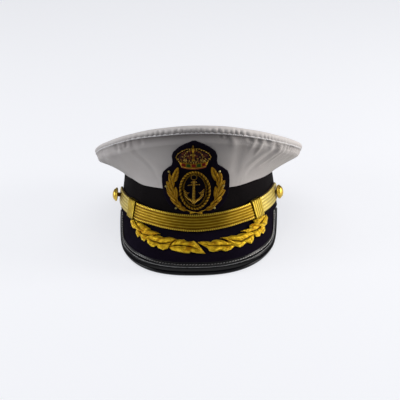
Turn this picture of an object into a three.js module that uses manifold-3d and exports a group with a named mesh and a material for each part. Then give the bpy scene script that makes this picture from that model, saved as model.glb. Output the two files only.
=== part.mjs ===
// Naval officer's peaked cap with a white cloth crown, in millimetres.
// The cap is drawn upright on its band: the origin is the middle of the oval under the band, the
// front looks along -Y, +X is on the viewer's right and +Z is up. Angles round the cap start at
// the front and grow towards +X. Last of all the whole cap is tipped back, until it stands on the
// rim of its peak and the rear of its band.
import * as THREE from "three";
import { mergeVertices } from "three/addons/utils/BufferGeometryUtils.js";
import Module from "manifold-3d";

const wasm = await Module();
wasm.setup();

// Driving sizes
const GAP = 0.3;

const BAND = {
  height: 37,
  sideRise: 2.2,
  wall: 3,
  bottomHalfWidth: 90.5,
  bottomHalfLength: 101,
  topHalfWidth: 85.6,
  topHalfLength: 98,
  frontNarrowing: 0.03,
};

const CROWN = {
  cloth: 1.6,
  halfWidth: 117.9,
  halfLength: 123,
  setRight: 0.7,
  setBack: 3,
  middleHeight: 76.1,
  frontRise: 25.6,
  endsRise: 6.45,
  frontLip: 0.7,
  sideLean: 1.3,
  hemStand: 0.6,
  panelSink: 1.2,
  seamInset: 1.8,
  seamDrop: 8,
  cornerInset: 3,
  cornerDrop: 16,
  rollInset: 4.1,
};

// Rows of the rolled edge from the seam up, measured in from the widest line and down from the top
const ROLL_ROWS = [
  { inset: CROWN.seamInset, drop: CROWN.seamDrop },
  { inset: 0, drop: 5 },
  { inset: 1.2, drop: 1.5 },
  { inset: CROWN.rollInset, drop: 0 },
];
const PANEL_RADII = [0.86, 0.5, 0];

// Folds in the side wall: the angle where each one leaves the seam and the angle where it dies
// out, its half width in degrees, how far it stands out, and the height at which it ends, where
// 0 is the hem, 1 the soft corner under the rolled edge and 2 the seam
const FOLDS = [
  { from: 22, to: 26.5, halfWidth: 3, depth: 1.5, end: 0.1 },
  { from: 28, to: 32, halfWidth: 3.2, depth: -1.5, end: 0.2 },
  { from: 33.5, to: 33, halfWidth: 2.4, depth: 0.9, end: 0.8 },
  { from: 39, to: 38, halfWidth: 2.4, depth: 1.2, end: 0.7 },
  { from: 46, to: 36, halfWidth: 2.6, depth: 1.2, end: 0.4 },
  { from: 49.5, to: 38, halfWidth: 2.6, depth: -1, end: 0.3 },
  { from: 53, to: 44, halfWidth: 2.4, depth: 1.1, end: 0.5 },
  { from: 62, to: 55, halfWidth: 2.4, depth: -0.7, end: 0.8 },
  { from: -44, to: -43, halfWidth: 2.4, depth: 1.2, end: 0.9 },
  { from: -48, to: -46, halfWidth: 2.4, depth: -1.1, end: 0.9 },
  { from: -36, to: -29, halfWidth: 3, depth: -0.8, end: 0.4 },
];

const PEAK = {
  thickness: 2.4,
  bulge: 1.5,
  rimRight: 0.6,
  rimHalfWidth: 89.1,
  rimReach: 139.6,
  rimEndReach: 12,
  rimRoundness: 2.5,
  rimDrop: 47.9,
  rimLift: 1.8,
  endsLiftFrom: 63.5,
  endsLiftPower: 2.12,
  endsHeight: -2.5,
  rootHeight: -GAP,
  innerSpan: 83.2,
  span: 87,
  drawFrom: 62,
  draw: 7,
};
const BINDING = { width: 11, leather: 0.9, endMargin: 4 };
const BEAD_RADIUS = PEAK.thickness / 2 + GAP + BINDING.leather;

// Leaves of the two branches on the peak, from the keeper down to the middle: where each leaf
// starts and where its tip lies, as an angle round the peak and a share of the way to its rim
const LEAVES = {
  left: [
    { fromAngle: -57.5, from: 0.15, toAngle: -47, to: 0.37, halfWidth: 4.8 },
    { fromAngle: -51, from: 0.22, toAngle: -28, to: 0.3, halfWidth: 5.5 },
    { fromAngle: -49, from: 0.35, toAngle: -29, to: 0.48, halfWidth: 5.2 },
    { fromAngle: -35, from: 0.33, toAngle: -9, to: 0.35, halfWidth: 6 },
    { fromAngle: -33, from: 0.43, toAngle: -13, to: 0.52, halfWidth: 5.5 },
    { fromAngle: -18, from: 0.42, toAngle: 5, to: 0.57, halfWidth: 7 },
  ],
  right: [
    { fromAngle: 62, from: 0.14, toAngle: 51, to: 0.36, halfWidth: 5.4 },
    { fromAngle: 54, from: 0.2, toAngle: 33, to: 0.27, halfWidth: 5.5 },
    { fromAngle: 53, from: 0.32, toAngle: 34, to: 0.46, halfWidth: 5.5 },
    { fromAngle: 38, from: 0.3, toAngle: 15, to: 0.36, halfWidth: 6 },
    { fromAngle: 37, from: 0.42, toAngle: 18, to: 0.53, halfWidth: 5.5 },
    { fromAngle: 22, from: 0.46, toAngle: 2.6, to: 0.38, halfWidth: 7 },
  ],
};
// Half widths of an oak leaf along its length, as shares of the widest: lobes and the nicks between
const OAK_EDGE = [0.3, 0.9, 0.6, 1, 0.62, 0.75, 0];
const LEAF = { edge: 0.7, belly: 2.2 };

const STRAP = {
  halfWidth: 8.7,
  doubled: 2.2,
  single: 1.6,
  ribs: 5,
  groove: 0.35,
  frontHeight: 2.4,
  rise: 0.1213,
  riseCurve: 0.00115,
  riseRounding: 8,
  lean: 1.2,
  standOff: 3.3,
  endStandOff: 1.8,
  turnRadius: 92,
  end: 85.6,
  settle: { from: 20, to: 46 },
  spread: { from: 30, to: 44 },
};
const KEEPER = { left: -52.4, right: 49.5, halfSpan: 3.3, wall: 1.2 };
const BUTTON = {
  angle: 80.5,
  drop: { left: 0.9, right: 2.3 },
  shankRadius: 1.8,
  radius: 8,
  back: 7.5,
  edge: 9.7,
  front: 12.6,
};

// Half width of the badge's cloth patch at each height, about its own middle line
const PATCH_ROWS = [
  { height: 9.5, halfWidth: 12 },
  { height: 13, halfWidth: 20 },
  { height: 19, halfWidth: 27.6 },
  { height: 25, halfWidth: 32 },
  { height: 31, halfWidth: 34.3 },
  { height: 36, halfWidth: 35.3 },
  { height: 41, halfWidth: 35.8 },
  { height: 47, halfWidth: 36.2 },
  { height: 53, halfWidth: 36 },
  { height: 58, halfWidth: 34.4 },
  { height: 62.5, halfWidth: 29.6 },
  { height: 66, halfWidth: 24.6 },
  { height: 70, halfWidth: 23.6 },
  { height: 76, halfWidth: 24.2 },
  { height: 81, halfWidth: 22.4 },
  { height: 86, halfWidth: 16.8 },
  { height: 90, halfWidth: 10 },
  { height: 93.5, halfWidth: 2 },
];
const BADGE = {
  middle: 1.2,
  patchGap: 0.5,
  patch: 2,
  relief: 2,
  columns: 8,
  stiffness: 8,
  top: 94,
};
const RELIEF_BASE = BADGE.patchGap + BADGE.patch + 1.4 * GAP;

const { abs, atan2, cos, max, min, PI, sign, sin, sqrt } = Math;
const { degToRad, lerp, smoothstep } = THREE.MathUtils;
const point = (x, y, z) => new THREE.Vector3(x, y, z);

// Closed bodies

function closedBody(corners) {
  const loose = new THREE.BufferGeometry();
  const numbers = corners.flatMap((corner) => corner.toArray());
  loose.setAttribute("position", new THREE.Float32BufferAttribute(numbers, 3));
  return tidied(mergeVertices(loose, 1e-4));
}

// Drops faces that have shrunk to a line and turns the rest outwards
function tidied(geometry) {
  const index = geometry.index.array;
  const at = (i) => new THREE.Vector3().fromBufferAttribute(geometry.attributes.position, i);
  const kept = [];
  let volume = 0;
  for (let i = 0; i < index.length; i += 3) {
    const [a, b, c] = index.slice(i, i + 3);
    if (a === b || b === c || c === a) continue;
    kept.push([a, b, c]);
    volume += at(a).dot(at(b).cross(at(c)));
  }
  geometry.setIndex(kept.flatMap((face) => (volume < 0 ? face.reverse() : face)));
  return geometry;
}

// A wall between two faces given by matching points. The first count runs along the wall, round
// a closed ring when loop is set, and the second runs across it.
function wallBody(along, across, front, back, loop = false) {
  const corners = [];
  const quad = (a, b, c, d) => corners.push(a, b, c, a, c, d);
  for (let i = 0; i < along; i++) {
    const n = loop ? (i + 1) % along : i + 1;
    for (let j = 0; j < across; j++) {
      quad(front(n, j), front(n, j + 1), front(i, j + 1), front(i, j));
      quad(back(i, j), back(i, j + 1), back(n, j + 1), back(n, j));
    }
    quad(front(i, 0), back(i, 0), back(n, 0), front(n, 0));
    quad(front(i, across), front(n, across), back(n, across), back(i, across));
  }
  for (let j = 0; j < across && !loop; j++) {
    quad(front(0, j), front(0, j + 1), back(0, j + 1), back(0, j));
    quad(front(along, j), back(along, j), back(along, j + 1), front(along, j + 1));
  }
  return closedBody(corners);
}

// A bar with one closed outline, whose corners are placed at each step along it
function barBody(steps, corners2d, place) {
  const corners = [];
  const clockwise = THREE.ShapeUtils.area(corners2d) < 0;
  const outline = clockwise ? [...corners2d].reverse() : corners2d;
  const at = (i, k) => place(i, outline[k].x, outline[k].y);
  for (let i = 0; i < steps; i++) {
    outline.forEach((_, k) => {
      const m = (k + 1) % outline.length;
      corners.push(at(i, k), at(i + 1, k), at(i + 1, m), at(i, k), at(i + 1, m), at(i, m));
    });
  }
  for (const [a, b, c] of THREE.ShapeUtils.triangulateShape(outline, [])) {
    corners.push(at(0, a), at(0, b), at(0, c));
    corners.push(at(steps, c), at(steps, b), at(steps, a));
  }
  return closedBody(corners);
}

function manifoldOf(geometry) {
  return new wasm.Manifold(new wasm.Mesh({
    numProp: 3,
    vertProperties: Float32Array.from(geometry.attributes.position.array),
    triVerts: Uint32Array.from(geometry.index.array),
  }));
}

function geometryOf(manifold) {
  const mesh = manifold.getMesh();
  const geometry = new THREE.BufferGeometry();
  geometry.setAttribute("position", new THREE.BufferAttribute(mesh.vertProperties, 3));
  geometry.setIndex(new THREE.BufferAttribute(mesh.triVerts, 1));
  return geometry;
}

const fused = (geometries) => geometryOf(geometries.map(manifoldOf).reduce((a, b) => a.add(b)));

function merged(geometry) {
  geometry.deleteAttribute("normal");
  geometry.deleteAttribute("uv");
  return tidied(mergeVertices(geometry, 1e-4));
}

// The way that a surface, given by two numbers, faces at one of its points
function facing(surface, u, v) {
  const step = 1e-3;
  const alongU = surface(u + step, v).sub(surface(u - step, v));
  const alongV = surface(u, v + step).sub(surface(u, v - step));
  return alongU.cross(alongV).normalize();
}

const lifted = (surface, u, v, lift) => surface(u, v).addScaledVector(facing(surface, u, v), lift);

// Band: an open oval ring of wool over a stiff inner, a little narrower at the front and the top

function bandPoint(angle, height, offset) {
  const share = height / BAND.height;
  const halfWidth = lerp(BAND.bottomHalfWidth, BAND.topHalfWidth, share) + offset;
  const halfLength = lerp(BAND.bottomHalfLength, BAND.topHalfLength, share) + offset;
  const x = halfWidth * sin(angle) * (1 - BAND.frontNarrowing * cos(angle));
  return point(x, -halfLength * cos(angle), height);
}

const RING_STEPS = 56;
const FRONT_CROWDING = 0.4;

// Steps round the cap lie closer together at the front, where the folds are
function ringAngle(i) {
  const even = (2 * PI * i) / RING_STEPS;
  return even - FRONT_CROWDING * sin(even);
}

// The band's top edge, and the crown's hem on it, are a little higher at the sides
const bandTop = (angle) => BAND.height + BAND.sideRise * sin(angle) ** 2;
const hemHeight = (angle) => bandTop(angle) + GAP;

function bandBody() {
  const face = (offset) => (i, j) => bandPoint(ringAngle(i), j * bandTop(ringAngle(i)), offset);
  return wallBody(RING_STEPS, 1, face(0), face(-BAND.wall), true);
}

// Crown: the top of its rolled edge is highest at the front, dips at the sides and is low behind

function crownHeight(angle, radius = 1) {
  const tilt = CROWN.frontRise * radius * cos(angle);
  const saddle = CROWN.endsRise * radius ** 2 * cos(2 * angle);
  const lip = CROWN.frontLip * radius ** 3 * cos(3 * angle);
  const lean = CROWN.sideLean * radius * sin(angle);
  return CROWN.middleHeight + tilt + saddle + lip + lean;
}

function crownEdge(angle, inset, drop) {
  const x = CROWN.setRight + (CROWN.halfWidth - inset) * sin(angle);
  const y = CROWN.setBack - (CROWN.halfLength - inset) * cos(angle);
  return point(x, y, crownHeight(angle) - drop);
}

// Side wall without its folds: height 0 is the hem, 1 the soft corner and 2 the seam
function plainSide(angle, height) {
  const hem = bandPoint(angle, hemHeight(angle), CROWN.hemStand);
  const corner = crownEdge(angle, CROWN.cornerInset, CROWN.cornerDrop);
  const seam = crownEdge(angle, CROWN.seamInset, CROWN.seamDrop + GAP);
  if (height > 1) return corner.lerp(seam, height - 1);
  return hem.lerp(corner, height);
}

function foldDepth(angle, height) {
  const degrees = THREE.MathUtils.radToDeg(atan2(sin(angle), cos(angle)));
  let depth = 0;
  for (const fold of FOLDS) {
    const share = (2 - height) / (2 - fold.end);
    const away = (degrees - lerp(fold.from, fold.to, share)) / fold.halfWidth;
    const fade = smoothstep(height, fold.end, fold.end + 0.5) * (1 - 0.6 * smoothstep(height, 1.2, 2));
    depth += fold.depth * fade * Math.exp(-(away ** 2));
  }
  return depth;
}

const SIDE_HEIGHTS = [0, 0.3, 0.6, 1, 1.45, 2];

function sideBody() {
  const face = (inwards) => (i, j) => {
    const angle = ringAngle(i);
    const height = SIDE_HEIGHTS[j];
    return lifted(plainSide, angle, height, foldDepth(angle, height) - inwards);
  };
  return wallBody(RING_STEPS, SIDE_HEIGHTS.length - 1, face(0), face(CROWN.cloth), true);
}

// Rolled edge between two rows of its table, so that it can be offset like any surface
function rolledEdge(angle, row) {
  const low = min(max(Math.floor(row), 0), ROLL_ROWS.length - 2);
  const share = row - low;
  const inset = lerp(ROLL_ROWS[low].inset, ROLL_ROWS[low + 1].inset, share);
  const drop = lerp(ROLL_ROWS[low].drop, ROLL_ROWS[low + 1].drop, share);
  return crownEdge(angle, inset, drop);
}

function panelPoint(angle, radius) {
  const x = CROWN.setRight + (CROWN.halfWidth - CROWN.rollInset) * radius * sin(angle);
  const y = CROWN.setBack - (CROWN.halfLength - CROWN.rollInset) * radius * cos(angle);
  return point(x, y, crownHeight(angle, radius) - CROWN.panelSink * (1 - radius ** 6));
}

function topBody() {
  const face = (inwards) => (i, j) => {
    const angle = ringAngle(i);
    if (j < ROLL_ROWS.length) return lifted(rolledEdge, angle, j, -inwards);
    const onPanel = panelPoint(angle, PANEL_RADII[j - ROLL_ROWS.length]);
    return onPanel.setZ(onPanel.z - inwards);
  };
  const rows = ROLL_ROWS.length + PANEL_RADII.length - 1;
  return wallBody(RING_STEPS, rows, face(0), face(CROWN.cloth), true);
}

// Peak: it slopes from the foot of the band to a rim whose front stands on the ground

const GROUND_SLOPE = PEAK.rimDrop / (BAND.bottomHalfLength + PEAK.rimReach);
const groundHeight = (y) => -(BAND.bottomHalfLength - y) * GROUND_SLOPE;

function peakRim(angle) {
  const power = 2 / PEAK.rimRoundness;
  const out = PEAK.rimHalfWidth * abs(sin(angle)) ** power;
  const x = PEAK.rimRight + sign(sin(angle)) * out;
  const y = -lerp(PEAK.rimEndReach, PEAK.rimReach, abs(cos(angle)) ** power);
  const start = degToRad(PEAK.endsLiftFrom);
  const share = max(0, (abs(angle) - start) / (PI / 2 - start)) ** PEAK.endsLiftPower;
  const lift = (PEAK.endsHeight - groundHeight(-PEAK.rimEndReach)) * share;
  return point(x, y, groundHeight(y) + lift + PEAK.rimLift);
}

// The root follows the foot of the band. Near the ends its stations draw forward, so that the
// rows of the peak stay square to the rim.
function peakRoot(angle) {
  const degrees = THREE.MathUtils.radToDeg(abs(angle));
  const share = max(0, degrees - PEAK.drawFrom) / (90 - PEAK.drawFrom);
  const hump = (27 / 4) * share ** 2 * (1 - share);
  const turned = (degrees * PEAK.innerSpan) / 90 - PEAK.draw * hump;
  return bandPoint(sign(angle) * degToRad(turned), 0, 0).setZ(PEAK.rootHeight);
}

const peakWidth = (angle) => peakRim(angle).distanceTo(peakRoot(angle));
const flatPeak = (angle, share) => peakRoot(angle).lerp(peakRim(angle), share);

function peakPoint(angle, share, lift) {
  const swell = PEAK.bulge * 4 * share * (1 - share) * cos(angle);
  return lifted(flatPeak, angle, share, -swell - lift);
}

const PEAK_STEPS = 36;
const PEAK_END_CROWDING = 0.25;

// Steps round the peak lie closer together at its two ends, where it turns most
function peakAngle(i) {
  const even = (2 * i) / PEAK_STEPS - 1;
  return degToRad(PEAK.span * even * (1 + PEAK_END_CROWDING * (1 - even ** 2)));
}

// How far the binding's arms reach in from the felt's edge: less at the narrow ends of the peak
const armReach = (width) => min(BINDING.width, width - BEAD_RADIUS - BINDING.endMargin);

// Rows of the felt from its root: two over the open felt, one under the arms' inner edge and one
// at the felt's own edge
function feltShares(width) {
  const underArm = 1 - (BEAD_RADIUS + armReach(width)) / width;
  return [0, underArm / 2, underArm, 1 - BEAD_RADIUS / width];
}

function peakBody() {
  const face = (lift) => (i, j) => {
    const angle = peakAngle(i);
    return peakPoint(angle, feltShares(peakWidth(angle))[j], lift);
  };
  return wallBody(PEAK_STEPS, 3, face(0), face(-PEAK.thickness));
}

// Leather binding: a round bead outside the felt's edge and an arm on each side of the felt
function bindingBody() {
  const arm = BINDING.width;
  const slot = PEAK.thickness / 2 + GAP;
  const outline = [new THREE.Vector2(arm, slot), new THREE.Vector2(arm, BEAD_RADIUS)];
  const beadSteps = 5;
  for (let k = 0; k <= beadSteps; k++) {
    const turn = (PI * k) / beadSteps;
    outline.push(new THREE.Vector2(-BEAD_RADIUS * sin(turn), BEAD_RADIUS * cos(turn)));
  }
  outline.push(new THREE.Vector2(arm, -BEAD_RADIUS), new THREE.Vector2(arm, -slot));
  outline.push(new THREE.Vector2(-GAP, -slot), new THREE.Vector2(-GAP, slot));
  return barBody(PEAK_STEPS, outline, (i, inwards, up) => {
    const angle = peakAngle(i);
    const width = peakWidth(angle);
    const reach = armReach(width) / BINDING.width;
    const inset = BEAD_RADIUS + (inwards > 0 ? inwards * reach : inwards);
    return peakPoint(angle, 1 - inset / width, up - PEAK.thickness / 2);
  });
}

// Moves a place on the peak by so many millimetres along a direction in its surface
function movedOnPeak(angle, share, direction) {
  const step = 1e-3;
  const byAngle = flatPeak(angle + step, share).sub(flatPeak(angle, share)).divideScalar(step);
  const byShare = flatPeak(angle, share + step).sub(flatPeak(angle, share)).divideScalar(step);
  const [aa, as, ss] = [byAngle.dot(byAngle), byAngle.dot(byShare), byShare.dot(byShare)];
  const [da, ds] = [direction.dot(byAngle), direction.dot(byShare)];
  const area = aa * ss - as * as;
  return [angle + (da * ss - ds * as) / area, share + (ds * aa - da * as) / area];
}

// One raised oak leaf: its edges are low and its two bellies stand up beside the midrib
function oakLeaf(leaf, raise) {
  const [fromAngle, toAngle] = [degToRad(leaf.fromAngle), degToRad(leaf.toAngle)];
  const last = OAK_EDGE.length - 1;
  const place = (i, side, height) => {
    const share = i / last;
    const angle = lerp(fromAngle, toAngle, share);
    const across = lerp(leaf.from, leaf.to, share);
    const ahead = flatPeak(toAngle, leaf.to).sub(flatPeak(fromAngle, leaf.from)).normalize();
    const sideways = ahead.cross(facing(flatPeak, angle, across));
    const reach = side * leaf.halfWidth * OAK_EDGE[i];
    const [movedAngle, movedShare] = movedOnPeak(angle, across, sideways.multiplyScalar(reach));
    return peakPoint(movedAngle, movedShare, GAP + height);
  };
  const top = (i, j) => {
    const side = j - 1;
    const fullness = 0.45 + 0.55 * OAK_EDGE[i];
    return place(i, side, raise + (side === 0 ? LEAF.belly * fullness : LEAF.edge));
  };
  return wallBody(last, 2, top, (i, j) => place(i, j - 1, 0));
}

function branchBody(leaves) {
  const overlap = 0.12;
  return fused(leaves.map((leaf, i) => oakLeaf(leaf, overlap * (i % 3))));
}

// Chin strap: it runs round the front of the band, lies on the peak and climbs to the buttons

function strapHeight(angle) {
  const degrees = THREE.MathUtils.radToDeg(angle);
  const rounded = sqrt(degrees ** 2 + STRAP.riseRounding ** 2) - STRAP.riseRounding;
  const climb = STRAP.rise * rounded + STRAP.riseCurve * degrees ** 2;
  return STRAP.frontHeight + climb + STRAP.lean * sin(angle) ** 3;
}

// A point of the strap: across is -1 at its lower edge and 1 at its upper edge, and out is
// measured from its inner face. Near the keepers its lower edge stands off further, over the peak.
function strapPoint(angle, across, out) {
  const step = 1e-3;
  const climb = (strapHeight(angle + step) - strapHeight(angle - step)) / (2 * step);
  const slope = atan2(climb, STRAP.turnRadius);
  const low = strapHeight(angle) - STRAP.halfWidth;
  const degrees = THREE.MathUtils.radToDeg(abs(angle));
  const nearKeeper = smoothstep(degrees, STRAP.spread.from, STRAP.spread.to);
  const peakSlant = 0.8;
  const keeperRoom = (GAP + KEEPER.wall) * (1 + peakSlant) * nearKeeper;
  const overPeak = PEAK.bulge + peakSlant * (PEAK.rootHeight - low) + keeperRoom;
  const settled = smoothstep(degrees, STRAP.settle.from, STRAP.settle.to);
  const upper = lerp(STRAP.standOff, STRAP.endStandOff, settled);
  const lower = max(upper, overPeak);
  const offset = lerp(lower, upper, (across + 1) / 2) + out;
  const height = strapHeight(angle) + STRAP.halfWidth * across * cos(slope);
  const turned = angle - (STRAP.halfWidth * across * sin(slope)) / STRAP.turnRadius;
  return bandPoint(turned, height, offset);
}

// Outline of the woven strap: ribs run along its outer face
function strapOutline(thickness) {
  const outline = [new THREE.Vector2(1, 0), new THREE.Vector2(-1, 0)];
  const points = 2 * STRAP.ribs;
  for (let k = 0; k <= points; k++) {
    const depth = k % 2 ? thickness : thickness - STRAP.groove;
    outline.push(new THREE.Vector2(-1 + (2 * k) / points, depth));
  }
  return outline;
}

function strapBody(stations, thickness) {
  return barBody(stations.length - 1, strapOutline(thickness), (i, across, out) => {
    const rounded = across * endRounding(stations[i]);
    return strapPoint(degToRad(stations[i]), rounded, out);
  });
}

const evenly = (from, to, steps) =>
  Array.from({ length: steps + 1 }, (_, i) => lerp(from, to, i / steps));

// The strap's free ends are rounded about their buttons
function endRounding(degrees) {
  const reach = STRAP.end - BUTTON.angle;
  const past = (abs(degrees) - BUTTON.angle) / reach;
  return past > 0 ? max(0.35, sqrt(max(0, 1 - past ** 2))) : 1;
}

// The strap has a station at each keeper's edge, so that both bend alike
function frontStrapBody() {
  const { left, right, halfSpan } = KEEPER;
  const between = evenly(left + halfSpan, right - halfSpan, 19);
  return strapBody([left, ...between, right], STRAP.doubled);
}

function strapEndBody(side) {
  const clearDegrees = 0.25;
  const turn = side === "left" ? -1 : 1;
  const middle = KEEPER[side];
  const beyond = evenly(middle + turn * KEEPER.halfSpan, turn * STRAP.end, 8);
  const strap = strapBody([middle + turn * clearDegrees, ...beyond], STRAP.single);
  const hole = merged(new THREE.CylinderGeometry(
    BUTTON.shankRadius + GAP, BUTTON.shankRadius + GAP, 12, 12));
  hole.applyMatrix4(new THREE.Matrix4().compose(
    buttonSeat(side).origin, buttonSeat(side).turn, point(1, 1, 1)));
  return geometryOf(manifoldOf(strap).subtract(manifoldOf(hole)));
}

// Keeper: a flat loop of lace round the strap
function keeperBody(middle) {
  const ring = (margin) => {
    const bevel = margin / 3;
    const over = 1 + margin / STRAP.halfWidth;
    const cut = bevel / STRAP.halfWidth;
    const [low, high] = [-margin, STRAP.doubled + margin];
    return [
      [over - cut, low], [over, low + bevel], [over, high - bevel], [over - cut, high],
      [-over + cut, high], [-over, high - bevel], [-over, low + bevel], [-over + cut, low],
    ];
  };
  const steps = 2;
  const face = (margin) => (i, j) => {
    const [across, out] = ring(margin)[i];
    const degrees = lerp(middle - KEEPER.halfSpan, middle + KEEPER.halfSpan, j / steps);
    return strapPoint(degToRad(degrees), across, out);
  };
  return wallBody(8, steps, face(GAP + KEEPER.wall), face(GAP), true);
}

// Buttons: a domed disc on a short shank that passes through the strap's end to the band

function buttonSeat(side) {
  const angle = degToRad(side === "left" ? -BUTTON.angle : BUTTON.angle);
  const height = strapHeight(angle) - BUTTON.drop[side];
  const outwards = facing((turn, up) => bandPoint(turn, up, 0), angle, height);
  const turn = new THREE.Quaternion().setFromUnitVectors(point(0, 1, 0), outwards);
  return { origin: bandPoint(angle, height, 0), turn };
}

function buttonBody() {
  const { shankRadius, radius, back, edge, front } = BUTTON;
  const profile = [
    [0, GAP], [shankRadius, GAP], [shankRadius, back], [radius - 0.6, back],
    [radius, lerp(back, edge, 0.5)], [radius - 0.6, edge], [radius - 1.6, edge - 0.3],
    [radius * 0.55, lerp(edge, front, 0.65)], [0, front],
  ];
  return merged(new THREE.LatheGeometry(profile.map(([x, y]) => new THREE.Vector2(x, y)), 14));
}

// Badge: everything on it is placed by its distance from the middle line and its height

// The face that the badge leans on: the band below and the crown's cloth above
function capFront(angle, height) {
  const hem = hemHeight(angle);
  if (height <= hem) return bandPoint(angle, height, CROWN.hemStand);
  const corner = crownHeight(angle) - CROWN.cornerDrop;
  const seam = crownHeight(angle) - CROWN.seamDrop - GAP;
  if (height > corner) return plainSide(angle, 1 + (height - corner) / (seam - corner));
  return plainSide(angle, (height - hem) / (corner - hem));
}

function capFrontAt(x, height) {
  const passes = 8;
  let angle = 0;
  for (let pass = 0; pass < passes; pass++) {
    angle += (x - capFront(angle, height).x) / CROWN.halfWidth;
  }
  return capFront(angle, height);
}

// The stiff patch bridges the hollow where the crown's hem lies on the band
function badgeGround(x, height) {
  const reach = min(BADGE.stiffness, max(0, BADGE.top - height) / 3);
  const bridge = capFrontAt(x, height - reach).lerp(capFrontAt(x, height + reach), 0.5);
  const face = capFrontAt(x, height);
  return bridge.y < face.y ? bridge : face;
}

const onBadge = (x, height, lift) => lifted(badgeGround, x + BADGE.middle, height, lift);

function patchBody() {
  const face = (lift) => (i, j) => {
    const across = (2 * i) / BADGE.columns - 1;
    return onBadge(across * PATCH_ROWS[j].halfWidth, PATCH_ROWS[j].height, lift);
  };
  const outer = face(BADGE.patchGap + BADGE.patch);
  return wallBody(BADGE.columns, PATCH_ROWS.length - 1, outer, face(BADGE.patchGap));
}

const CORD_SECTION = [[-1, 0], [-0.6, 1], [0.6, 1], [1, 0]];
const LEAF_SECTION = [[-1, 0], [0, 1], [1, 0]];

// A raised cord on the badge along a path of [x, height] points, with a share of the full width
// at each of them
function badgeCord(path, halfWidth, relief, shares = path.map(() => 1), section = CORD_SECTION) {
  const outline = section.map(([x, y]) => new THREE.Vector2(x, y));
  const steps = path.length - 1;
  return barBody(steps, outline, (i, across, up) => {
    const [x0, z0] = path[max(i - 1, 0)];
    const [x1, z1] = path[min(i + 1, steps)];
    const length = Math.hypot(x1 - x0, z1 - z0);
    const width = across * halfWidth * shares[i];
    const [x, height] = path[i];
    const [overX, overZ] = [(-(z1 - z0) / length) * width, ((x1 - x0) / length) * width];
    return onBadge(x + overX, height + overZ, RELIEF_BASE + up * relief);
  });
}

function badgeBead(x, height, radius) {
  const bead = merged(new THREE.SphereGeometry(radius, 6, 4));
  const middle = onBadge(x, height, RELIEF_BASE + radius);
  return bead.translate(middle.x, middle.y, middle.z);
}

// Points of an arc about [x, height], with angles in degrees from straight up, clockwise
function badgeArc(x, height, halfWidth, halfHeight, from, to, steps) {
  return Array.from({ length: steps + 1 }, (_, i) => {
    const angle = degToRad(lerp(from, to, i / steps));
    return [x + halfWidth * sin(angle), height + halfHeight * cos(angle)];
  });
}

// Crown of the badge: a jewelled circlet, arches that swell outwards and meet, and a ball
function badgeCrownBody() {
  const circlet = { height: 65.8, halfWidth: 2.6, reach: 14.2 };
  const top = 85.4;
  const footHeight = circlet.height + circlet.halfWidth - 0.8;
  const parts = [
    badgeCord(
      Array.from({ length: 5 }, (_, i) => [lerp(-circlet.reach, circlet.reach, i / 4), circlet.height]),
      circlet.halfWidth, BADGE.relief),
    badgeCord([[0, footHeight], [0, 77], [0, top]], 1.6, BADGE.relief),
    badgeBead(0, top + 2, 2.5),
  ];
  for (const side of [-1, 1]) {
    const outer = [
      [side * 12.8, footHeight], [side * 17, 74.6], [side * 16, 80],
      [side * 9, 84.4], [0, top],
    ];
    const inner = [[side * 6.4, footHeight], [side * 9.2, 74], [side * 8.4, 80], [0, top]];
    parts.push(badgeCord(outer, 1.7, BADGE.relief * 0.9));
    parts.push(badgeCord(inner, 1.4, BADGE.relief * 0.8));
    parts.push(badgeBead(side * 6.3, 71.6, 1.7));
  }
  return fused(parts);
}

// Rope oval round the anchor
const ROPE = { height: 37.8, halfWidth: 15.8, halfHeight: 19.6, cord: 1.9, steps: 24 };

function ropeRingBody() {
  const section = [[-1, 0], [-0.8, 0.8], [0, 1.1], [0.8, 0.8], [1, 0]];
  const face = (i, j) => {
    const angle = (2 * PI * i) / ROPE.steps;
    const [across, up] = section[j];
    const over = across * ROPE.cord;
    const x = (ROPE.halfWidth + over) * sin(angle);
    return onBadge(x, ROPE.height + (ROPE.halfHeight + over) * cos(angle), RELIEF_BASE + up * BADGE.relief);
  };
  const corners = [];
  for (let i = 0; i < ROPE.steps; i++) {
    const n = (i + 1) % ROPE.steps;
    for (let j = 0; j < section.length; j++) {
      const m = (j + 1) % section.length;
      corners.push(face(i, j), face(n, j), face(n, m), face(i, j), face(n, m), face(i, m));
    }
  }
  return closedBody(corners);
}

// Anchor: ring, stock, shank and two curved arms with flukes
function anchorBody() {
  const foot = 24.3;
  const stock = [[-7.5, 44.6], [0, 45.4], [7.5, 44.6]];
  const shank = [[0, foot], [0, 35.6], [0, 48.6]];
  const arms = badgeArc(0, 35.3, 9.4, 11, 270, 90, 8);
  const ring = badgeArc(0, 50.3, 2.4, 2.4, 0, 360, 8);
  const fluke = (side) => badgeCord(
    [[side * 10.6, 32.4], [side * 9.2, 38.2]], 2.4, BADGE.relief, [1, 0.15]);
  return fused([
    badgeCord(stock, 1.3, BADGE.relief * 0.8),
    badgeCord(shank, 1.4, BADGE.relief),
    badgeCord(arms, 1.5, BADGE.relief),
    badgeCord(ring, 0.9, BADGE.relief * 0.7),
    fluke(-1),
    fluke(1),
  ]);
}

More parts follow.
